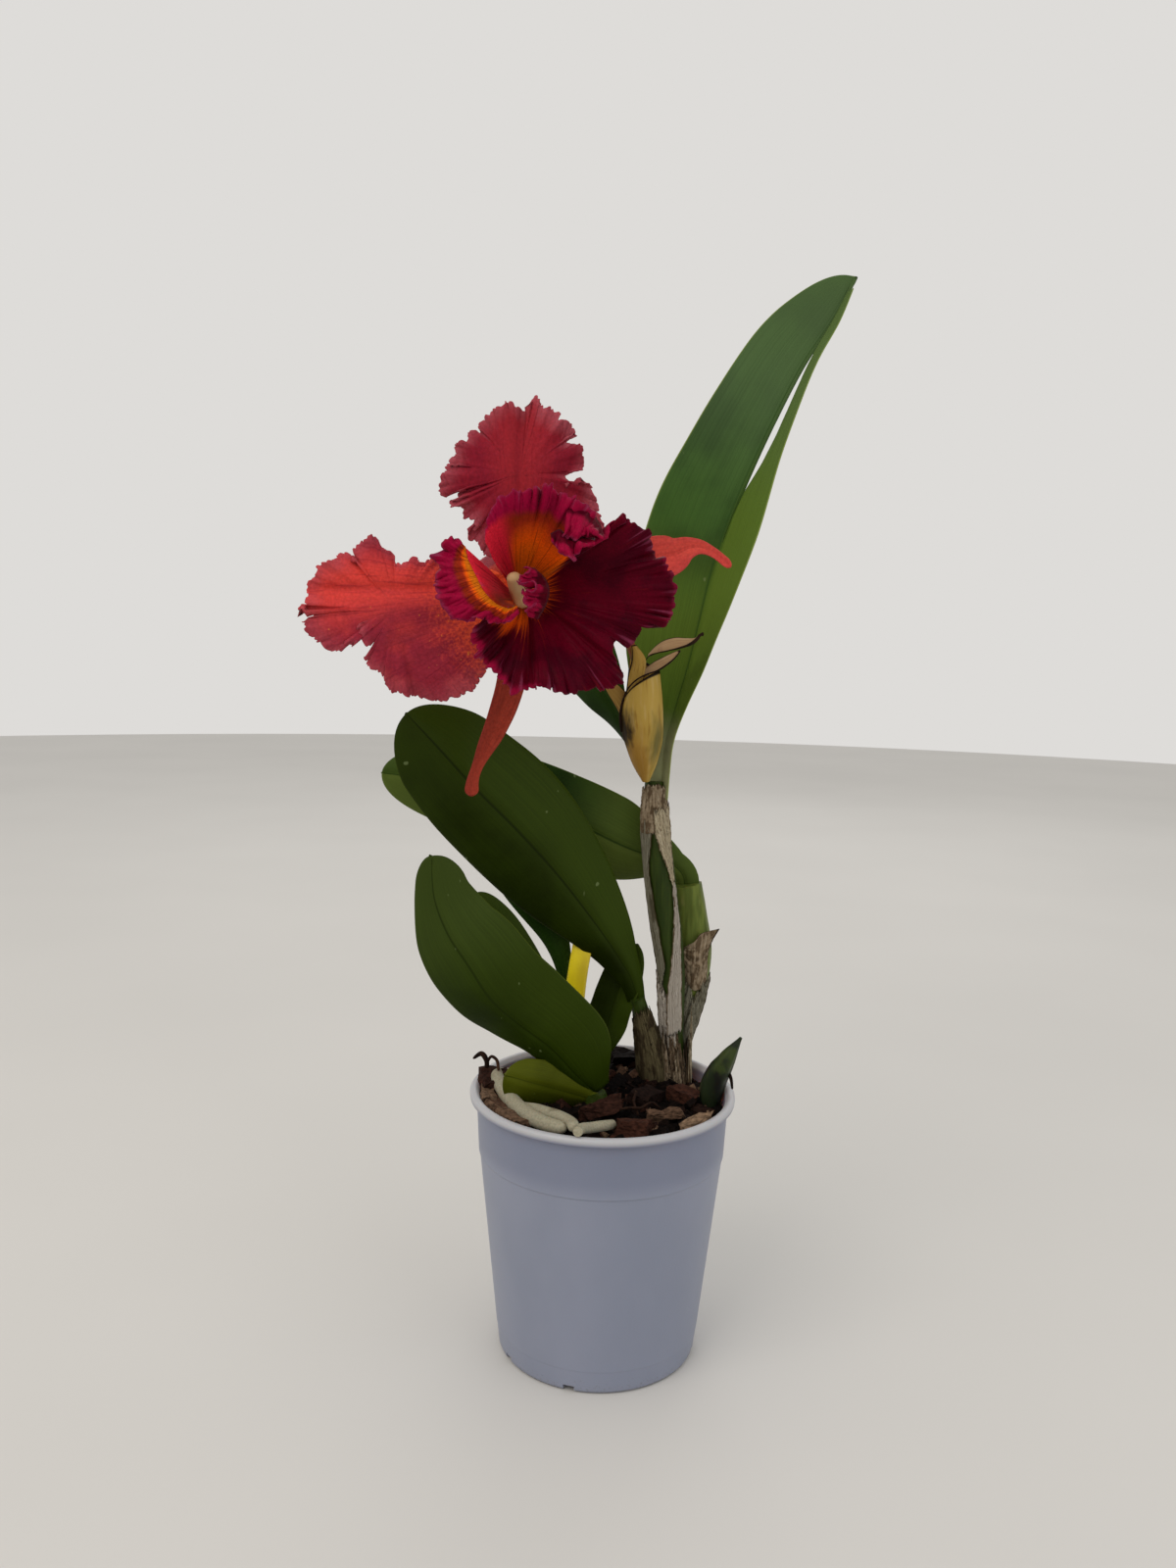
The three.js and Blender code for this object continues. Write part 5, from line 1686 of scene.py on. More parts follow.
BULBS = [
    TALL, BACK, MID,
    Stem(
        "pseudobulb_front", Slot.BULB, BULB, [(-2.5, -2.5, 109), (-2.6, -3, 114), (-3, -3.5, 118.5)],
        [5.4, 5.6, 4.4],
    ),
    Stem(
        "pseudobulb_small_left", Slot.BULB, BULB, [(-8, 19.5, 109), (-8.6, 18, 113.5), (-9.4, 17.6, 117)],
        [4.2, 4.4, 3.2],
    ),
    Stem(
        "pseudobulb_small_mid", Slot.BULB, BULB, [(-16, 23.4, 109), (-15.8, 22.5, 120), (-15.7, 22, 131)],
        [3.8, 4.2, 2.8],
    ),
    Stem(
        "pseudobulb_small_right", Slot.BULB, BULB, [(1, 25, 109), (-0.5, 25.6, 113), (-1.2, 25.4, 117.5)],
        [4.2, 4.4, 3.2],
    ),
    Stem(
        "rhizome", Slot.BULB, BULB_DRY,
        [(-5, -5, 109), (0, 8, 108.5), (3, 23, 108.5), (20, 28, 108.5), (34, 27, 108.5), (38, 37, 108)],
        [3.4, 3.8, 3.6, 3.2], rows=40, sides=16,
    ),
    Stem(
        "new_shoot", Slot.SHOOT, SHOOT,
        [(48.6, 4.5, 109), (50.4, 2, 122.5), (55.8, -2, 135.6), (61.4, -4, 146.1)],
        [4.4, 5.6, 5.2, 3.4, 0.5], furrow_depth=0.35, furrows=5,
    ),
]

LEAVES = [
    TornBlade(
        "leaf_tall", Slot.LEAF, LEAF_TALL,
        [
            (23.6, 28, 249), (24.2, 28.2, 262), (25.2, 28.8, 275), (29.5, 31, 292), (34.5, 33, 310),
            (39, 35.2, 330), (43.6, 36.6, 352), (50.6, 38.2, 376.4), (59.6, 39.8, 399.5),
            (70.9, 41.6, 425), (83.1, 43.2, 449.4), (95, 44.5, 468), (105.5, 45.8, 488),
        ],
        [(0.8, -0.6, 0), (0.8, -0.6, 0)], (36.3, 28), stalk=4.2, fold=22, rows=150, lanes=49, wave=0.6,
        round_from=0.25, outline=(0.2, 0.18, 0.33, 0.6, 0.9, 1.02, 0.8, 0.61, 0.46, 0.34, 0.2),
        outline_left=(0.12, 0.2, 0.78, 0.97, 1.01, 1.0, 0.96, 0.88, 0.81, 0.83, 0.84),
    ),
    Blade(
        "leaf_tall_second", Slot.LEAF, LEAF_BACK,
        [(17, 31, 258), (10, 34, 273), (-2, 38, 294), (-22, 41, 317), (-46, 43, 334), (-66, 44, 345)],
        [(0.5, -0.5, 0.7), (0.6, -0.25, 0.75)], (16, 22), fold=-14, seed=2, round_from=0.1,
        outline=(0.1, 0.1, 0.14, 0.3, 0.62, 0.88, 1.0, 0.98, 0.9, 0.76, 0.6),
        outline_left=(0.1, 0.12, 0.34, 0.68, 0.92, 1.0, 0.98, 0.93, 0.84, 0.72, 0.58),
    ),
    Blade(
        "leaf_mid", Slot.LEAF, LEAF_DARK,
        [
            (15.4, 23.2, 153), (13.6, 21, 160.5), (11.2, 19, 166.9), (7.6, 17, 173), (1.5, 14, 183),
            (-20.5, 7, 213), (-39.8, 0, 235.5), (-59.5, -6, 256), (-75.5, -10, 274), (-88.5, -12, 288),
        ],
        [(0.8, 0.1, 0.55), (0.78, 0.2, 0.6)], (27, 31), stalk=3.2, fold=-17, rows=130, seed=3,
        outline=(0.12, 0.2, 0.47, 0.64, 0.79, 0.92, 1.0, 0.99, 0.9, 0.75, 0.6), round_from=0.15,
        outline_left=(0.15, 0.25, 0.43, 0.67, 0.9, 0.98, 1.0, 0.98, 0.92, 0.83, 0.72),
    ),
    Blade(
        "leaf_back", Slot.LEAF, LEAF_LONG,
        [
            (37.4, 43, 203), (36, 42.4, 210), (31, 40.5, 215.5), (8.7, 37, 224), (-19.2, 33, 237),
            (-55.6, 30, 250), (-82.3, 27, 255), (-106, 25, 258),
        ],
        [(0.4, -0.3, 0.85), (0.25, 0.1, 0.95)], (24, 21), stalk=7, shoulder=0.32, fold=-16, rows=130,
        seed=4,
    ),
    Blade(
        "leaf_front", Slot.LEAF, LEAF_FRONT,
        [
            (-3.4, -4, 118.5), (-9, -8, 125), (-23.3, -14, 142), (-39.4, -20, 156), (-49, -24, 166),
            (-59.3, -28, 183), (-67, -31, 196), (-72.5, -34, 212), (-74, -36, 230.5),
        ],
        [(0.75, -0.3, 0.6), (0.85, 0.3, 0.3)], (19, 29), stalk=3.6, fold=-18, rows=130, seed=5,
        outline=(0.15, 0.8, 0.88, 0.95, 1.0, 0.98, 0.93, 0.84, 0.72, 0.56, 0.42), round_from=0.08,
        outline_left=(0.15, 0.42, 0.57, 0.65, 0.72, 0.9, 1.02, 0.92, 0.6, 0.34, 0.3),
    ),
    Blade(
        "leaf_low", Slot.LEAF_OLIVE, LEAF_OLIVE,
        [
            (-2.4, -4, 115.2), (-11.5, -7, 118.5), (-21.6, -11, 122.6), (-32, -15, 126.6),
            (-43, -17, 130.4),
        ],
        [(0.2, -0.3, 0.9), (0.25, 0.1, 0.9)], (17, 11), stalk=3.2, shoulder=0.3, fold=-20, rows=80,
        seed=6,
    ),
    Blade(
        "leaf_small_left", Slot.LEAF, LEAF_DARK,
        [(-9.6, 17, 117.5), (-15, 15, 127), (-32.5, 10, 152), (-48.5, 6, 182), (-60, 3, 207)],
        [(0.8, 0, 0.5), (0.9, 0.1, 0.4)], (14, 15), fold=-15, rows=90, seed=7,
    ),
    Blade(
        "leaf_small_mid", Slot.LEAF, LEAF_BACK,
        [(-15.7, 22, 131.5), (-18, 24, 160), (-24.3, 23, 184), (-40, 20, 208), (-58.6, 17, 231)],
        [(0.9, 0.2, 0), (0.8, 0.1, 0.5)], (10, 10), stalk=2.4, fold=-14, rows=90, seed=8, round_from=0.1,
        outline=(0.24, 0.24, 0.27, 0.34, 0.5, 0.74, 0.92, 1.0, 0.98, 0.85, 0.7),
    ),
    Blade(
        "leaf_small_right", Slot.LEAF, LEAF_DARK,
        [(-1.4, 27, 118), (-0.5, 27, 130), (3, 27.5, 146), (8.5, 28, 163), (14.6, 28.5, 179)],
        [(0.9, -0.4, 0), (0.85, -0.3, -0.4)], (10.5, 10.5), fold=15, rows=80, seed=9,
    ),
    Blade(
        "inner_bract", Slot.SPATHE, BRACT,
        [(13, 20, 262), (10, 18.5, 278), (5, 17, 292), (-4, 15.5, 304)],
        [(0.7, -0.5, 0.4), (0.6, -0.3, 0.7)], (4.5, 4.5), stalk=2, fold=-20, middle=0.6, rows=50,
        lanes=21, seed=10,
    ),
    Blade(
        "label_tag", Slot.LABEL, TAG,
        [(-13.6, 7, 104), (-13.8, 8, 125), (-14, 13, 155), (-11.4, 17, 178), (-6.6, 21, 199)],
        [(0.98, -0.15, 0), (0.9, -0.2, -0.35)], (4.6, 4.6), stalk=4.6, shoulder=0.05, tip_from=0.96,
        fold=0, middle=0.7, edge=0.7, groove=0, wave=0, rows=60, lanes=9,
    ),
]

SHEATHS = [
    Sheath(
        "sheath_collar", Slot.PAPER, PAPER, TALL, (0.85, 0.84, 0.86, 0.86), (0.985, 1.0, 1.0, 0.99),
        (165, 168, 170), (376, 374, 372), (1.2, 0.9), 0.012,
    ),
    Sheath(
        "sheath_strip", Slot.PAPER, PAPER_BEIGE, TALL, (0.68, 0.68), (0.925, 0.94),
        (312, 296, 276, 262, 262), (320, 324, 328, 340, 350), (1.0, 1.4), seed=3, part="upper",
    ),
    Sheath(
        "sheath_strip", Slot.PAPER, PAPER_PALE, TALL, (0.2, 0.22), (0.695, 0.695),
        (248, 250, 272, 297, 316), (308, 306, 310, 322, 322), (1.7, 1.1), seed=5, part="lower",
    ),
    Sheath(
        "sheath_side", Slot.PAPER, PAPER_GREY, TALL, (0.34, 0.42), (0.9, 0.88), (225, 195, 176, 170),
        (250, 238, 226, 262), (1.2, 0.9), seed=7,
    ),
    Sheath(
        "sheath_foot", Slot.PAPER, PAPER_PALE, TALL, (0.16, 0.14), (0.42, 0.3), (192, 196, 205),
        (300, 290, 268), (1.0, 0.9), 0.04, seed=9, part="upper",
    ),
    Sheath(
        "sheath_foot", Slot.PAPER, PAPER_BROWN, TALL, (0.03, 0.03), (0.24, 0.2, 0.24, 0.18, 0.22),
        (170, 175, 178), (385, 380, 372), (2.4, 1.2), 0.08, seed=11, part="lower",
    ),
    Sheath(
        "sheath_foot", Slot.PAPER, PAPER_BEIGE, TALL, (0.02, 0.04), (0.17, 0.3, 0.2, 0.26),
        (318, 322, 330), (385, 400, 404), (3.2, 3.6), 0.1, seed=21, part="shreds",
    ),
    Sheath(
        "sheath_foot", Slot.PAPER, PAPER, TALL, (0.0, 0.02), (0.15, 0.24, 0.1, 0.19), (196, 204, 208),
        (300, 292, 286), (3.4, 2.6), 0.1, seed=23, part="husk",
    ),
    Sheath(
        "sheath_back", Slot.PAPER, PAPER_GREY, BACK, (0.14, 0.14), (0.62, 0.5, 0.6), (205, 215, 235),
        (345, 340, 330), (1.0, 1.4), 0.05, seed=13, part="lower",
    ),
    Loft(
        "sheath_back", Slot.PAPER, PAPER,
        [
            [(33.6, 35, 162), (32.8, 34, 170), (33.2, 33.5, 173), (34.4, 33.5, 174.6)],
            [(37.0, 33, 161), (36.0, 31.5, 172), (36.3, 31, 176.5), (38.4, 31, 178.6)],
            [(42.0, 31, 157), (41.0, 29.5, 168), (41.0, 29, 176), (41.5, 29.5, 181)],
            [(47.0, 33, 158), (45.5, 31.5, 168), (44.6, 31, 177), (44.6, 31, 184.5)],
            [(48.8, 36, 166), (48.6, 34.5, 173), (50.2, 34, 180), (53.6, 34, 186.6)],
        ],
        rough=0.5, part="bract",
    ),
    Sheath(
        "sheath_mid", Slot.PAPER, PAPER_OLIVE, MID, (0.02, 0.02), (0.86, 0.9, 0.96, 0.92),
        (165, 180, 205), (385, 375, 355), (2.6, 0.9), 0.08, seed=15,
    ),
]

# The dried flower sheath: its body, the far side's two flaps and its curled crescent.
SPATHES = [
    Loft(
        "spathe", Slot.SPATHE, SPATHE_BODY,
        [
            [
                (14.8, 22, 257.5), (10.1, 19, 265.5), (6.7, 17, 274.1), (4.3, 16, 281.2), (3.9, 15, 288),
                (4.5, 14.5, 295),
            ],
            [(15.2, 20, 257.5), (12.1, 12, 268.4), (10.4, 8, 279.8), (9.1, 7, 291), (9.3, 8.5, 301.5)],
            [(16.1, 20, 257.5), (16, 10.5, 268.6), (16, 6.5, 280), (15.1, 6, 293.1), (14.8, 9, 305.5)],
            [
                (17, 20.5, 257.5), (19.2, 14.5, 268.4), (20.5, 12, 279.7), (20.1, 11, 292.9),
                (18.8, 13, 307.6),
            ],
            [
                (17.5, 22, 257.5), (20.8, 20, 266.5), (22.9, 19.5, 277), (23, 19, 285), (22.2, 18, 296),
                (20.6, 17, 308.3),
            ],
        ],
        thickness=0.6, rough=0.15, part="body",
    ),
    Loft(
        "spathe", Slot.SPATHE, SPATHE,
        [
            [(17.5, 22, 257.5), (21.4, 24, 268), (22.6, 24, 282), (21.8, 23, 296), (20.6, 20, 309)],
            [(16.5, 25.5, 257.5), (15.5, 26.5, 268), (14.5, 27, 284), (14, 26.5, 298), (14.5, 25, 312)],
            [
                (14.8, 22, 257.5), (10.8, 23, 267), (7.4, 22.5, 278), (5.4, 22, 290), (6.4, 22.5, 302),
                (7.6, 24, 318),
            ],
        ],
        thickness=0.6, rough=0.2, part="back",
    ),
    Loft(
        "spathe", Slot.SPATHE, SPATHE_FLAP,
        [
            [
                (11.4, 14.4, 303.8), (14.9, 13.4, 306.4), (20, 12.4, 308.4), (24.2, 12, 311.2),
                (27, 12, 313.8), (29.6, 13, 317.2),
            ],
            [
                (11.6, 15.6, 305.2), (14.6, 15, 307.8), (19, 14, 310.2), (22.8, 13.4, 312.8),
                (26.2, 13, 315), (29.6, 13.2, 317.5),
            ],
            [
                (12, 17.4, 306.8), (14.2, 17, 309), (17.8, 16.4, 312), (21.4, 15.4, 314),
                (25.3, 14.4, 316), (29.5, 13.4, 317.8),
            ],
        ],
        rough=0.05, part="flap",
    ),
    Loft(
        "spathe", Slot.SPATHE, SPATHE_FLAP,
        [
            [
                (15.5, 20, 314.5), (19.2, 18, 316), (23.5, 16, 317), (29.2, 15, 318.6), (33.9, 15, 320.3),
                (37, 16, 322.6), (40, 17, 325.6),
            ],
            [
                (15.6, 21, 315), (19, 19, 317.4), (23, 18, 319.6), (28.4, 17, 321.2), (33.4, 16.6, 321.8),
                (36.8, 17, 323), (39.8, 17.4, 325.8),
            ],
            [
                (15.8, 22, 315.6), (18.5, 22, 318.8), (22.1, 22, 321.6), (27.2, 21, 323.2),
                (32.3, 20, 323.1), (36.2, 18, 323.3), (39.4, 17.6, 326),
            ],
        ],
        rough=0.05, part="crescent",
    ),
    Loft(
        "spathe", Slot.SPATHE, SPATHE,
        [
            [(5.2, 14, 293.1), (6.4, 13, 298.3), (6.9, 12, 304.9), (7.9, 12, 312.9), (7.4, 13, 319.3)],
            [
                (8.1, 11, 295.5), (9.6, 10.5, 301.4), (10.5, 10.5, 307.2), (11.1, 11, 313),
                (8.6, 12.6, 319.5),
            ],
            [
                (12.2, 10.5, 298.6), (13.1, 11, 304.4), (14.1, 11.5, 308.8), (14.1, 12, 313.5),
                (9.8, 13, 319.6),
            ],
        ],
        rough=0.1, part="left",
    ),
    Seam(
        "spathe", Slot.SPATHE, MARGIN,
        [
            (4.4, 15.6, 280.5), (3.9, 14.6, 285), (3.9, 13.8, 290.9), (5, 12, 296.2), (7, 9.5, 300.7),
            (10.5, 8, 304.4), (14.8, 8.4, 306.8), (19.9, 11.5, 308.7), (23.5, 11.6, 311.2),
            (26.7, 11.6, 313.8), (29.3, 12.6, 317.1),
        ],
        [0.5, 0.9, 0.7, 0.45, 0.4, 0.35, 0.35, 0.3, 0.3, 0.35, 0.2], part="margin",
    ),
    Seam(
        "spathe", Slot.SPATHE, MARGIN,
        [
            (12, 12.5, 305.8), (13, 13.5, 310.1), (14.2, 15, 312.7), (16.2, 17, 315.1), (19.9, 17, 316.4),
            (23.4, 15.4, 317.2), (29.2, 14.4, 318.7), (33.9, 14.4, 320.5), (36.8, 15.4, 322.7),
            (38.6, 16.6, 324.9), (39.8, 17, 324.6),
        ],
        [0.15, 0.2, 0.25, 0.25, 0.25, 0.3, 0.35, 0.5, 0.8, 0.9, 0.5], part="margin_far",
    ),
    Seam(
        "spathe", Slot.SPATHE, MARGIN,
        [
            (7.8, 12.5, 319.6), (8.2, 11.5, 315.9), (8.2, 11.3, 312.6), (7.3, 11.6, 308.6),
            (6.5, 12.2, 304.2),
        ],
        [0.15, 0.3, 0.35, 0.3, 0.15], part="margin_left",
    ),
]

PETALS = [
    Petal(
        "petal_upper", Slot.PETAL, PETAL_UPPER, (0, 46),
        [
            (0, 3.4), (-3, 4.5), (-6, 8.5), (-11, 12.5), (-15.9, 15.5), (-17.6, 19.6), (-21.4, 19.9),
            (-21.5, 23.8), (-17.8, 24.4), (-19.1, 27.7), (-23.9, 29), (-23.3, 32.1), (-28.6, 33.7),
            (-28.5, 35.4), (-25.2, 35.6), (-26.5, 39.2), (-31.3, 38.1), (-32.3, 40.8), (-30, 47.4),
            (-30.5, 49), (-26.6, 49.6), (-29.6, 50.4), (-26.2, 53.9), (-26.7, 57.2), (-23.9, 59.4),
            (-21.4, 59.6), (-21.1, 61.5), (-19.1, 64.5), (-15.8, 62.4), (-17.3, 66.9), (-14, 68.6),
            (-8.4, 71.8), (-2.9, 73.5), (-1.8, 72.4), (3.8, 72.7), (5, 76.2), (8.3, 75.7), (8, 73),
            (12.7, 72.3), (15.8, 69.8), (15.8, 66.9), (20.5, 66.6), (22.8, 62.9), (18.8, 60.1),
            (20.8, 56.9), (23.9, 58.2), (25.3, 55.3), (25.8, 48.7), (18.8, 45.4), (19.9, 41.8),
            (26.7, 41.8), (31.2, 36.1), (32, 28.3), (34, 23.9), (29, 18.5), (19, 13.5), (8, 7.5),
            (3.6, 4.2),
        ],
        lambda x, y: 1.6 + 7 * np.sin(math.pi * y / 95) - 0.004 * x * x - 0.05 * y, (0, -10), math.pi / 2,
        86, seed=1.0,
    ),
    Petal(
        "petal_left", Slot.PETAL, PETAL_LEFT, (-50, -7),
        [
            (-4.2, -4), (-8, -16), (-14, -32), (-22, -40), (-29.5, -44), (-35.3, -46), (-40.4, -45.4),
            (-47.8, -42.5), (-54.6, -39.9), (-55.4, -38.1), (-57.2, -32.4), (-60, -30.9), (-62.2, -28.4),
            (-62.4, -25.5), (-58.7, -24.4), (-56.3, -20.2), (-60.9, -21), (-64.1, -16.4), (-62.9, -12.5),
            (-66.8, -15.9), (-66, -19), (-67.6, -21.2), (-72.1, -20.1), (-73.4, -23.8), (-77.9, -23.5),
            (-83.9, -18.6), (-86.3, -15.2), (-87.3, -11.9), (-85.3, -9.9), (-81.3, -9.2), (-85.2, -7.8),
            (-88.8, -7.9), (-89.3, -6), (-85.9, -4.6), (-85.7, 2.7), (-80.7, 8), (-79.8, 10.5),
            (-74.4, 12.1), (-71.5, 15.7), (-66.8, 14.5), (-65.6, 12.1), (-66.1, 14.3), (-65.9, 17.1),
            (-63.6, 18.5), (-60.8, 20.7), (-57.4, 21.8), (-56, 19.3), (-54.5, 16.3), (-51.9, 16.8),
            (-50, 13.8), (-48.1, 11), (-42.5, 13.2), (-38.6, 11.9), (-31.8, 13.8), (-24, 11.5),
            (-12, 8.5), (-5, 5), (-3.4, 0),
        ],
        lambda x, y: 1.6 + 6 * np.sin(-math.pi * x / 95) - 0.004 * y * y - 0.1 * x, (10, 1), math.pi, 96,
        seed=2.0,
    ),
]

# What the tissue is like round the lip, and the margin there: x, y, z and its line of growth in degrees.
LIP_ZONES: list[tuple[Look, list[tuple[float, float, float, float]]]] = [
    (Look(blush=1, calm=0.15, rim=0.9, warm=1.3), [(-8.7, 9.1, 36, 165), (-12.8, 16.8, 40, 158)]),
    (Look(blush=1, calm=0.5, frill=0.04, rim=0.9, warm=1.2), [(-13.6, 23.9, 42, 150)]),
    (Look(blush=0.75, frill=0.2, rim=0.8, warm=1.1), [(-10.1, 30.9, 43, 141)]),
    (Look(blush=0.2, frill=0.2, gold=0.75, rim=0.7, warm=1.05), [(-4, 36.3, 42, 130)]),
    (
        Look(calm=1.2, frill=0.26, gold=0.75, rim=0.6, warm=0.98),
        [(2.6, 38.1, 42, 118), (8.1, 37.9, 41, 108), (12.9, 38.8, 41, 99)],
    ),
    (Look(calm=1.2, frill=0.26, gold=0.62, rim=0.6, warm=0.95), [(17.8, 35, 41, 90), (22, 32.9, 41, 82)]),
    (Look(frill=0.3, gold=0.62, rim=0.6, warm=0.8), [(27.5, 28.2, 41, 73), (30.5, 22.1, 42, 63)]),
    (Look(calm=0.4, frill=0.2, gold=0.9, warm=0.3), [(31.7, 19.2, 42, 52)]),
    (Look(gold=0.6, warm=0.3), [(34.5, 24.2, 38, 44), (37.4, 29, 36, 37)]),
    (Look(), [(42.2, 26.2, 34, 28), (49.2, 21.4, 33, 19), (51.9, 12.8, 32, 10)]),
    (
        Look(frill=0.02, rim=0.4),
        [(55.7, 12.2, 32, 6), (57.8, 6, 31, 0), (58.6, -3.3, 30, -8), (57.4, -10.8, 30, -14)],
    ),
    (
        Look(),
        [
            (55.8, -14.3, 30, -19), (47.9, -14, 30, -25), (45.4, -19.6, 30, -31), (36, -22.1, 31, -40),
            (40.1, -34.7, 32, -47), (36.2, -37.1, 33, -53), (30.4, -38.9, 34, -60),
            (21.6, -37.9, 34, -68), (12.7, -38.1, 35, -76), (6.4, -36.4, 36, -84),
        ],
    ),
    (Look(calm=1.3, frill=0.1, rim=0.5), [(2, -39.5, 36, -91)]),
    (
        Look(calm=1.3, frill=0.1, gold=0.55, rim=0.5, warm=0.42),
        [(-4.9, -39.2, 36, -98), (-9.2, -32.8, 37, -106), (-12, -29.4, 37, -111)],
    ),
    (
        Look(calm=1.3, frill=0.1, gold=0.6, rim=0.5, warm=0.6),
        [(-17.5, -27.1, 38, -118), (-18.9, -20.2, 40, -126), (-19.3, -14.6, 42, -132)],
    ),
    (Look(calm=0.4, gold=0.8, warm=0.75), [(-14.3, -9.7, 45, -138)]),
    (
        Look(blush=0.3, calm=0.05, frill=-0.2, gold=0.6, rim=0, warm=1.3),
        [(-3.3, -6.4, 46, -146), (-8.1, -5.5, 47, -152), (-11.7, -2.8, 48, -158)],
    ),
    (
        Look(blush=0.7, calm=0.05, frill=-0.2, gold=0, rim=0, warm=1.3),
        [
            (-14.6, 1.4, 48, -163), (-16.7, 5.3, 47, -168), (-18.5, 8.9, 46, -173), (-20, 12.5, 45, -178),
            (-20.8, 16.1, 44, -183),
        ],
    ),
]
LIP_STATIONS = [
    Station((x, y, z), angle, look) for look, places in LIP_ZONES for x, y, z, angle in places
]

RUBY = Look(warm=-1.0, frill=0.7, rim=1.0)
CURLS = [
    Curl(
        "lip", Slot.LIP, LIP,
        [(17.2, 31.8, 40), (21.5, 33, 40), (26.3, 29.4, 40), (29.3, 24.6, 41), (31.1, 19.8, 42)],
        [(16.2, 21.3, 48), (17.4, 18, 49), (20.1, 17.6, 50), (22.8, 21.8, 49), (29.6, 18.7, 46)], RUBY,
        bulge=2.5, seed=2.0, part="curl_upper",
    ),
    Curl(
        "lip", Slot.LIP, LIP,
        [(10.9, 20.7, 46), (14.5, 22.2, 46), (16.9, 19.6, 46), (21.2, 19.6, 46), (27.3, 19, 45)],
        [(11.3, 17.6, 51), (13.7, 14, 52), (18.4, 11.7, 53), (21.8, 14.7, 51), (27.1, 16.5, 48)],
        Look(warm=-1.0, frill=0.5, rim=1.0), bulge=1.5, seed=3.0, part="curl_lower",
    ),
    Curl(
        "lip", Slot.LIP, LIP,
        [(4.8, 8.4, 40), (9.2, 4, 40), (10.3, -0.7, 40), (8.8, -5.5, 40), (5.8, -10.6, 40)],
        [
            (0.8, 8.6, 46), (3, 7.6, 51), (-1.1, 5, 49), (-0.6, 2.4, 51), (3.6, 1.2, 54),
            (-0.4, -0.6, 52), (0.6, -3.4, 51), (4.4, -4.4, 54), (1.2, -6.6, 51), (2.4, -9.2, 48),
        ],
        Look(warm=-1.0, frill=0.6, rim=1.0), bulge=3, fold=2.4, length=5.0, seed=5.0, part="curl_inner",
    ),
    Curl(
        "lip", Slot.LIP, LIP,
        [
            (-20.8, 16.1, 44), (-20, 12.5, 45), (-18.5, 8.9, 46), (-16.7, 5.3, 47), (-14.6, 1.4, 48),
            (-11.7, -2.8, 48), (-8.1, -5.5, 47), (-4.5, -6.4, 46), (-1.4, -5.5, 46),
        ],
        [
            (-22.1, 18.3, 43), (-27.9, 17.6, 42), (-31.9, 9.5, 42), (-31.4, 1.7, 44), (-28.7, -5.5, 46),
            (-23.2, -10.5, 48), (-15.9, -9.9, 50), (-9.9, -12.9, 50), (-0.9, -8.2, 49),
        ],
        Look(warm=0.5, gold=1.0, frill=0.56, rim=0.8), bulge=1.5, fold=3.2, seed=6.0, rays=420, rings=26,
        part="lobe_left",
    ),
]

SEPALS = [
    Blade(
        "sepal_right", Slot.SEPAL, SEPAL,
        [
            (3.6, 0.4, -1.6), (22, 5, -4), (42, 10.5, -4), (56.6, 13.1, -3), (63.9, 14.7, -3),
            (69, 17.2, -2), (73.7, 17.6, -1), (78.9, 15.4, 0), (82.8, 12.4, 1), (85.8, 9.6, 2),
        ],
        [(0, -1, 0.2), (-0.1, -1, 0.1)], (8, 8), fold=14, middle=0.9, in_flower=True, groove=0.4, stalk=1,
        outline=(0.5, 0.7, 0.9, 1.1, 1.2, 1.2, 1.2, 1.2, 1.2, 1.1, 0.6, 0.27, 0.22, 0.26),
    ),
    Blade(
        "sepal_lower", Slot.SEPAL, SEPAL_LOWER,
        [
            (0.2, -3.8, -1.6), (-2, -22, -3.5), (-5.7, -40, -5), (-11.3, -55.7, -5), (-17.2, -67.9, -4),
            (-20.6, -76.1, -3), (-21.6, -80.1, -2), (-22, -85, -1),
        ],
        [(-1, 0, 0.2), (-1, 0.25, 0.3)], (7.5, 7.5), fold=16, middle=0.9, in_flower=True, groove=0.5,
        stalk=1,
        outline=(0.5, 0.75, 0.95, 1.0, 0.95, 0.9, 0.85, 0.8, 0.76, 0.7, 0.6, 0.46, 0.28, 0.34, 0.5),
    ),
    Blade(
        "sepal_dorsal", Slot.SEPAL, PETAL_UPPER,
        [(-3, 2.4, -2), (-8.5, 9, -8), (-11, 14, -24), (-11, 17, -42), (-8, 18, -62)],
        [(0.7, 0.7, 0.1), (0.8, 0.6, 0)], (7, 7), shoulder=0.35, tip_from=0.5, fold=14, middle=1,
        in_flower=True, groove=0.4,
    ),
]


def in_flower(point: Triple) -> Triple:
    """A point in the flower's own frame, in millimetres."""
    return tuple(flower_frame().inverted() @ (Vector(point) * MM) / MM)


STALKS = [
    Stem(
        "pedicel", Slot.SEPAL, STALK,
        [
            *(
                in_flower(at) for at in [
                    (16.5, 21, 262), (14.5, 19.5, 280), (13, 18.5, 298), (10, 18, 312), (4, 10, 325),
                    (-8, -4, 334), (-22, -18, 338.5),
                ]
            ),
            (-1.5, 1, -7), (0, 0, 1),
        ],
        [1.7, 1.7, 1.8, 1.8, 1.9, 2.2, 2.8, 3, 3.2, 4.2, 4.4], furrows=6, furrow_depth=0.2,
        in_flower=True, wrinkle=0.05,
    ),
    Stem(
        "column", Slot.COLUMN, COLUMN,
        [(0.6, -1.2, 1.2), (0.8, -3.6, 10), (0.2, -4, 19), (-1.4, 0.5, 28), (-3.4, 6.5, 34)],
        [2.6, 2.4, 2.6, 3.1, 3.2, 2.4], furrows=2, furrow_depth=0.2, in_flower=True, wrinkle=0.05,
        round_end=True,
    ),
]

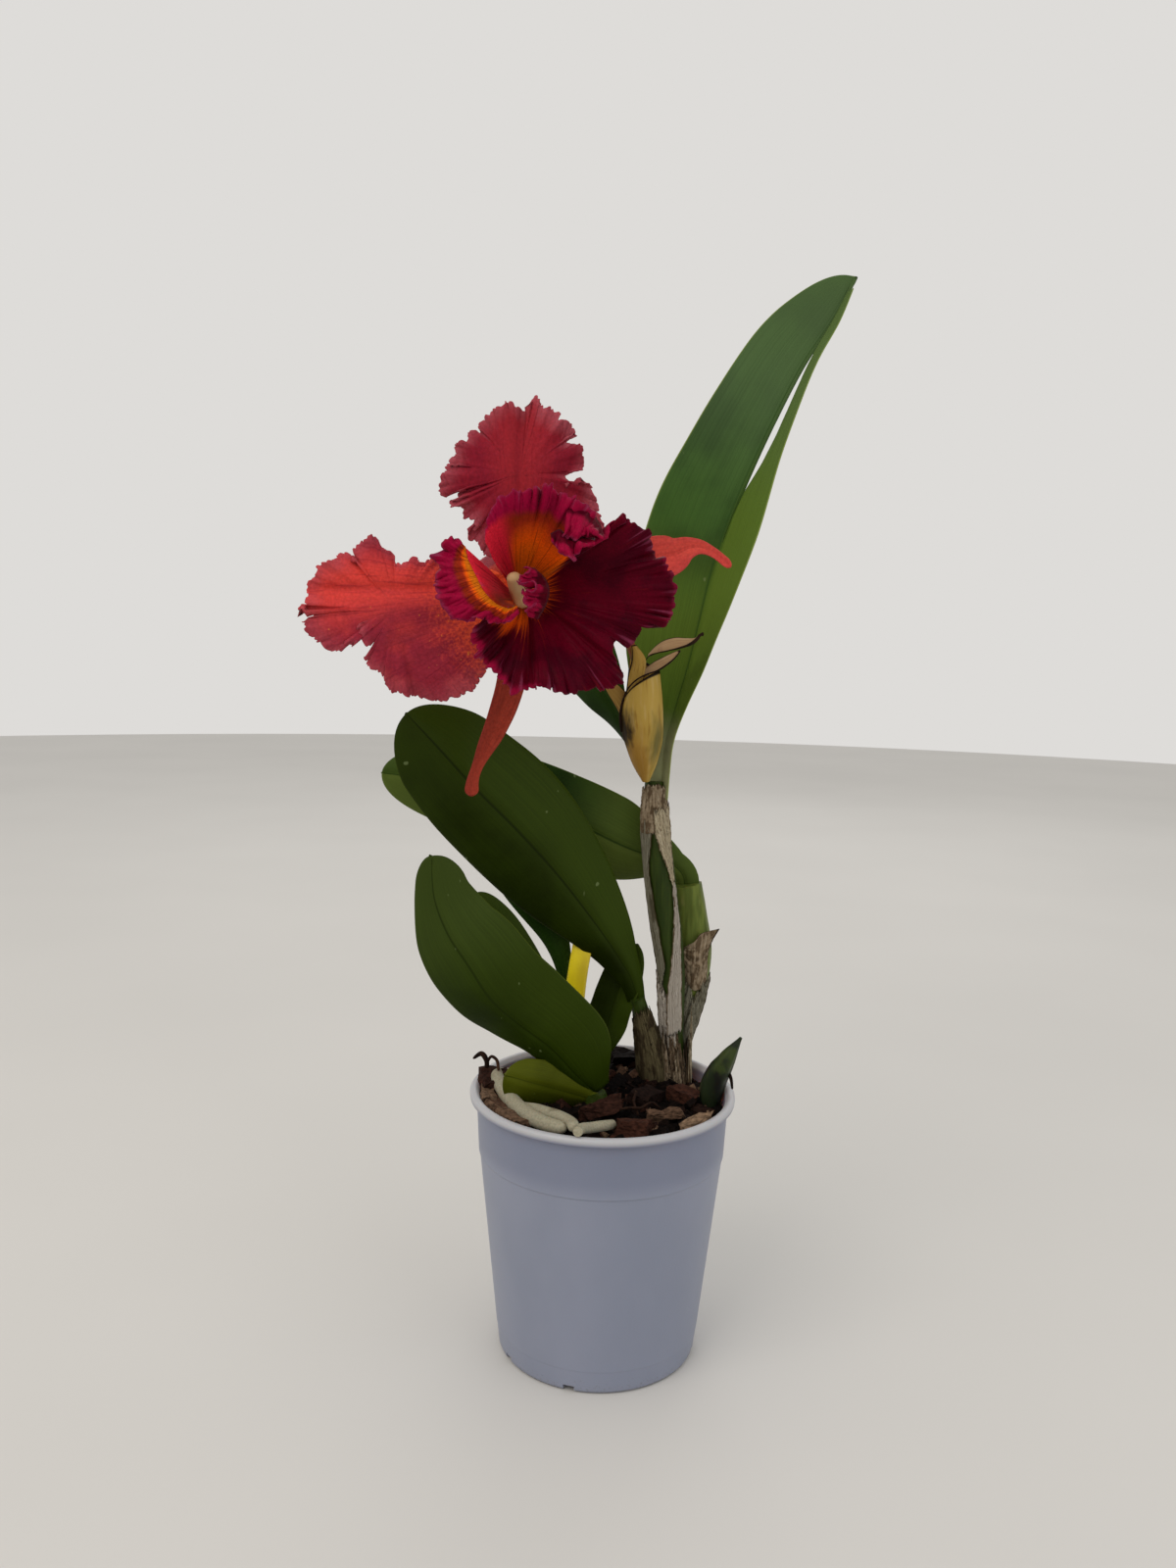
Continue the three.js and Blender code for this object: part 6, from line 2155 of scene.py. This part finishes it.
ROOTS = [
    Root(
        "root_outer", Slot.ROOT, ROOT,
        [
            (-26, 12, 113), (-42, 12, 119.5), (-48.3, 6, 121.4), (-44.3, -6, 119), (-38.6, -18, 117.8),
            (-31.7, -30, 117.6), (-23, -41, 118.2), (-14.6, -49, 119.8),
        ],
        [2.5, 2.9, 3.2, 3.5, 3.5, 3.3, 2.8],
    ),
    Root(
        "root_inner", Slot.ROOT, ROOT,
        [
            (-33.8, -21, 117.5), (-29.5, -25, 118.4), (-24.6, -30, 119), (-17, -38, 120),
            (-12.4, -46, 121), (-11.2, -53.6, 122.4),
        ],
        [2.1, 2.7, 2.8, 2.6, 2.4],
    ),
    Root(
        "root_rim", Slot.ROOT, ROOT,
        [(-9.6, -58.4, 122.6), (-8.2, -53, 121.8), (-4.6, -47.5, 120), (0, -43, 119), (5.5, -36, 117)],
        [2, 2.3, 2.3, 2.1],
    ),
    Root(
        "root_tip", Slot.ROOT, PAPER_BROWN,
        [(51, 1, 128), (55.4, 0.2, 130), (57.6, -2, 127), (58.6, -3, 121.6)], [0.9, 0.9, 0.8, 0.5],
        sides=12,
    ),
]
DEAD_ROOTS = [
    Root(
        "bark_mix", Slot.BARK, MARGIN,
        [(-52, 5, 114), (-54, 8, 121), (-53.8, 9, 127), (-56.3, 10, 130.1), (-60.3, 10, 127.6)],
        [0.8, 0.9, 1.1, 1.3, 0.6], sides=10, part="dead_root",
    ),
    Root(
        "bark_mix", Slot.BARK, MARGIN,
        [(-53.8, 9, 126), (-51.5, 8, 129.6), (-49, 7, 128.4), (-47.7, 4, 124.4)], [0.6, 0.7, 0.8, 0.6],
        sides=10, part="dead_root_end",
    ),
    Root(
        "bark_mix", Slot.BARK, MARGIN,
        [
            (6, -18, 114), (8, -22, 118), (12, -22, 119), (17, -18, 117.5), (22, -14, 118.5),
            (26, -12, 115),
        ],
        [0.5, 0.6, 0.6, 0.5], sides=10, part="dead_root_front",
    ),
    Root(
        "bark_mix", Slot.BARK, MARGIN,
        [(12, 2, 113), (14, -4, 119), (15, -9, 121), (14, -15, 119), (16, -20, 115)],
        [0.5, 0.7, 0.7, 0.5], sides=10, part="dead_root_middle",
    ),
]

KEY_CHIPS = [
    Chip((0, -19, 117.5), (17, 8, 6), 20, (-18, -14), 0.8),
    Chip((13.5, -40, 116.5), (14, 9, 8), -8, (-10, 0), 0.86),
    Chip((28, -20, 115.5), (15, 5.5, 4), 14, (0, -8), 0.92),
    Chip((36, 2, 116), (15, 8, 7), -30, (10, 10), 0.85),
    Chip((40, -35.5, 118.6), (14, 4.5, 3), 42, (0, -10), 1.0),
    Chip((-49.5, 3, 117.5), (12, 15, 10), 15, (8, 6), 0.8),
    Chip((-41.5, -27, 115.6), (7, 25, 4), 38, (0, 14), 0.94),
    Chip((-47, -17, 116.5), (7, 17, 4), 22, (0, 14), 0.9),
    Chip((-51.5, -8, 117.5), (6, 14, 4), 12, (0, 14), 0.96),
    Chip((20, -4, 115), (16, 9, 8), 60, (14, 8), 0.6),
    Chip((10, 45, 117), (16, 12, 8), 15, (4, 8), 0.5),
]


# ---- the studio ------------------------------------------------------------------------------


CAMERA_AT = (0, -0.5307, 0.321)
CAMERA_TURN = (-1.07, 6.75, 1.39)  # to the side, down and over, in degrees
SENSOR_WIDTH = 36
LENS = 27.81
LIGHTS = [  # name, place in metres, side in metres, watts, colour
    ("key", (-0.9, -1.1, 1.5), 1.2, 12, "#fff8f0"),
    ("fill", (1.3, -0.9, 0.9), 1.4, 4, "#f2f6ff"),
    ("back", (0.2, 1.6, 1.3), 1.2, 4, "#ffffff"),
]
LIT_AT = (0, 0, 0.22)
SURROUNDINGS = "#dedcd9"
FLOOR_RADIUS = 3.5
FLOOR_BELOW = -0.0004  # so that the pot's underside doesn't flicker in it


def camera() -> None:
    """Sets the camera: in front of the pot, level with the flower, turned a little down."""
    yaw, pitch, roll = (math.radians(angle) for angle in CAMERA_TURN)
    forward = Vector((math.sin(yaw) * math.cos(pitch), math.cos(yaw) * math.cos(pitch), -math.sin(pitch)))
    level = Vector((math.cos(yaw), -math.sin(yaw), 0))
    up = level.cross(forward)
    right = level * math.cos(roll) + up * math.sin(roll)
    over = up * math.cos(roll) - level * math.sin(roll)
    lens = bpy.data.cameras.new("camera")
    lens.sensor_width = SENSOR_WIDTH
    lens.lens = LENS
    lens.clip_start = 0.01
    view = placed("camera", lens)
    turned = Matrix((right, over, -forward)).transposed().to_4x4()
    view.matrix_world = Matrix.Translation(CAMERA_AT) @ turned
    bpy.context.scene.camera = view


def light(name: str, at: Triple, size: float, watts: float, colour: str) -> None:
    """Hangs a soft square light that faces the plant.

    Args:
        name: the light's name.
        at: where, in metres.
        size: its side, in metres.
        watts: how strong.
        colour: its sRGB hex colour.
    """
    lamp = bpy.data.lights.new(name, "AREA")
    lamp.size = size
    lamp.energy = watts
    lamp.color = linear(colour)[:3]
    holder = placed(name, lamp)
    holder.location = at
    aim = Vector(LIT_AT) - Vector(at)
    holder.rotation_euler = aim.to_track_quat("-Z", "Y").to_euler()


def studio() -> None:
    """The pale floor, the soft lights and the pale surroundings."""
    mesh = bpy.data.meshes.new("floor")
    disc = bmesh.new()
    bmesh.ops.create_circle(disc, cap_ends=True, segments=96, radius=FLOOR_RADIUS)
    bmesh.ops.translate(disc, verts=disc.verts, vec=(0, 0, FLOOR_BELOW))
    disc.to_mesh(mesh)
    disc.free()
    mesh.materials.append(FLOOR.material())
    placed("floor", mesh)
    for lamp in LIGHTS:
        light(*lamp)
    world = bpy.data.worlds.new("surroundings")
    world.use_nodes = True
    background = world.node_tree.nodes["Background"]
    background.inputs["Color"].default_value = linear(SURROUNDINGS)
    background.inputs["Strength"].default_value = 1.0
    bpy.context.scene.world = world
    bpy.context.scene.view_settings.view_transform = "Standard"


def main() -> None:
    """Builds the plant in its pot and lights it."""
    logging.basicConfig(level=logging.INFO, format="%(name)s: %(message)s")
    camera()
    studio()
    pieces: list[Piece] = [
        Pot("pot", Slot.POT, POT), Bark("bark_mix", Slot.BARK, BARK, KEY_CHIPS), *BULBS, *LEAVES,
        *SHEATHS, *SPATHES, *PETALS, Lip("lip", Slot.LIP, LIP, LIP_STATIONS), *CURLS, *SEPALS, *STALKS,
        *ROOTS, *DEAD_ROOTS,
    ]
    for piece in pieces:
        piece.make()


if __name__ == "__main__":
    main()
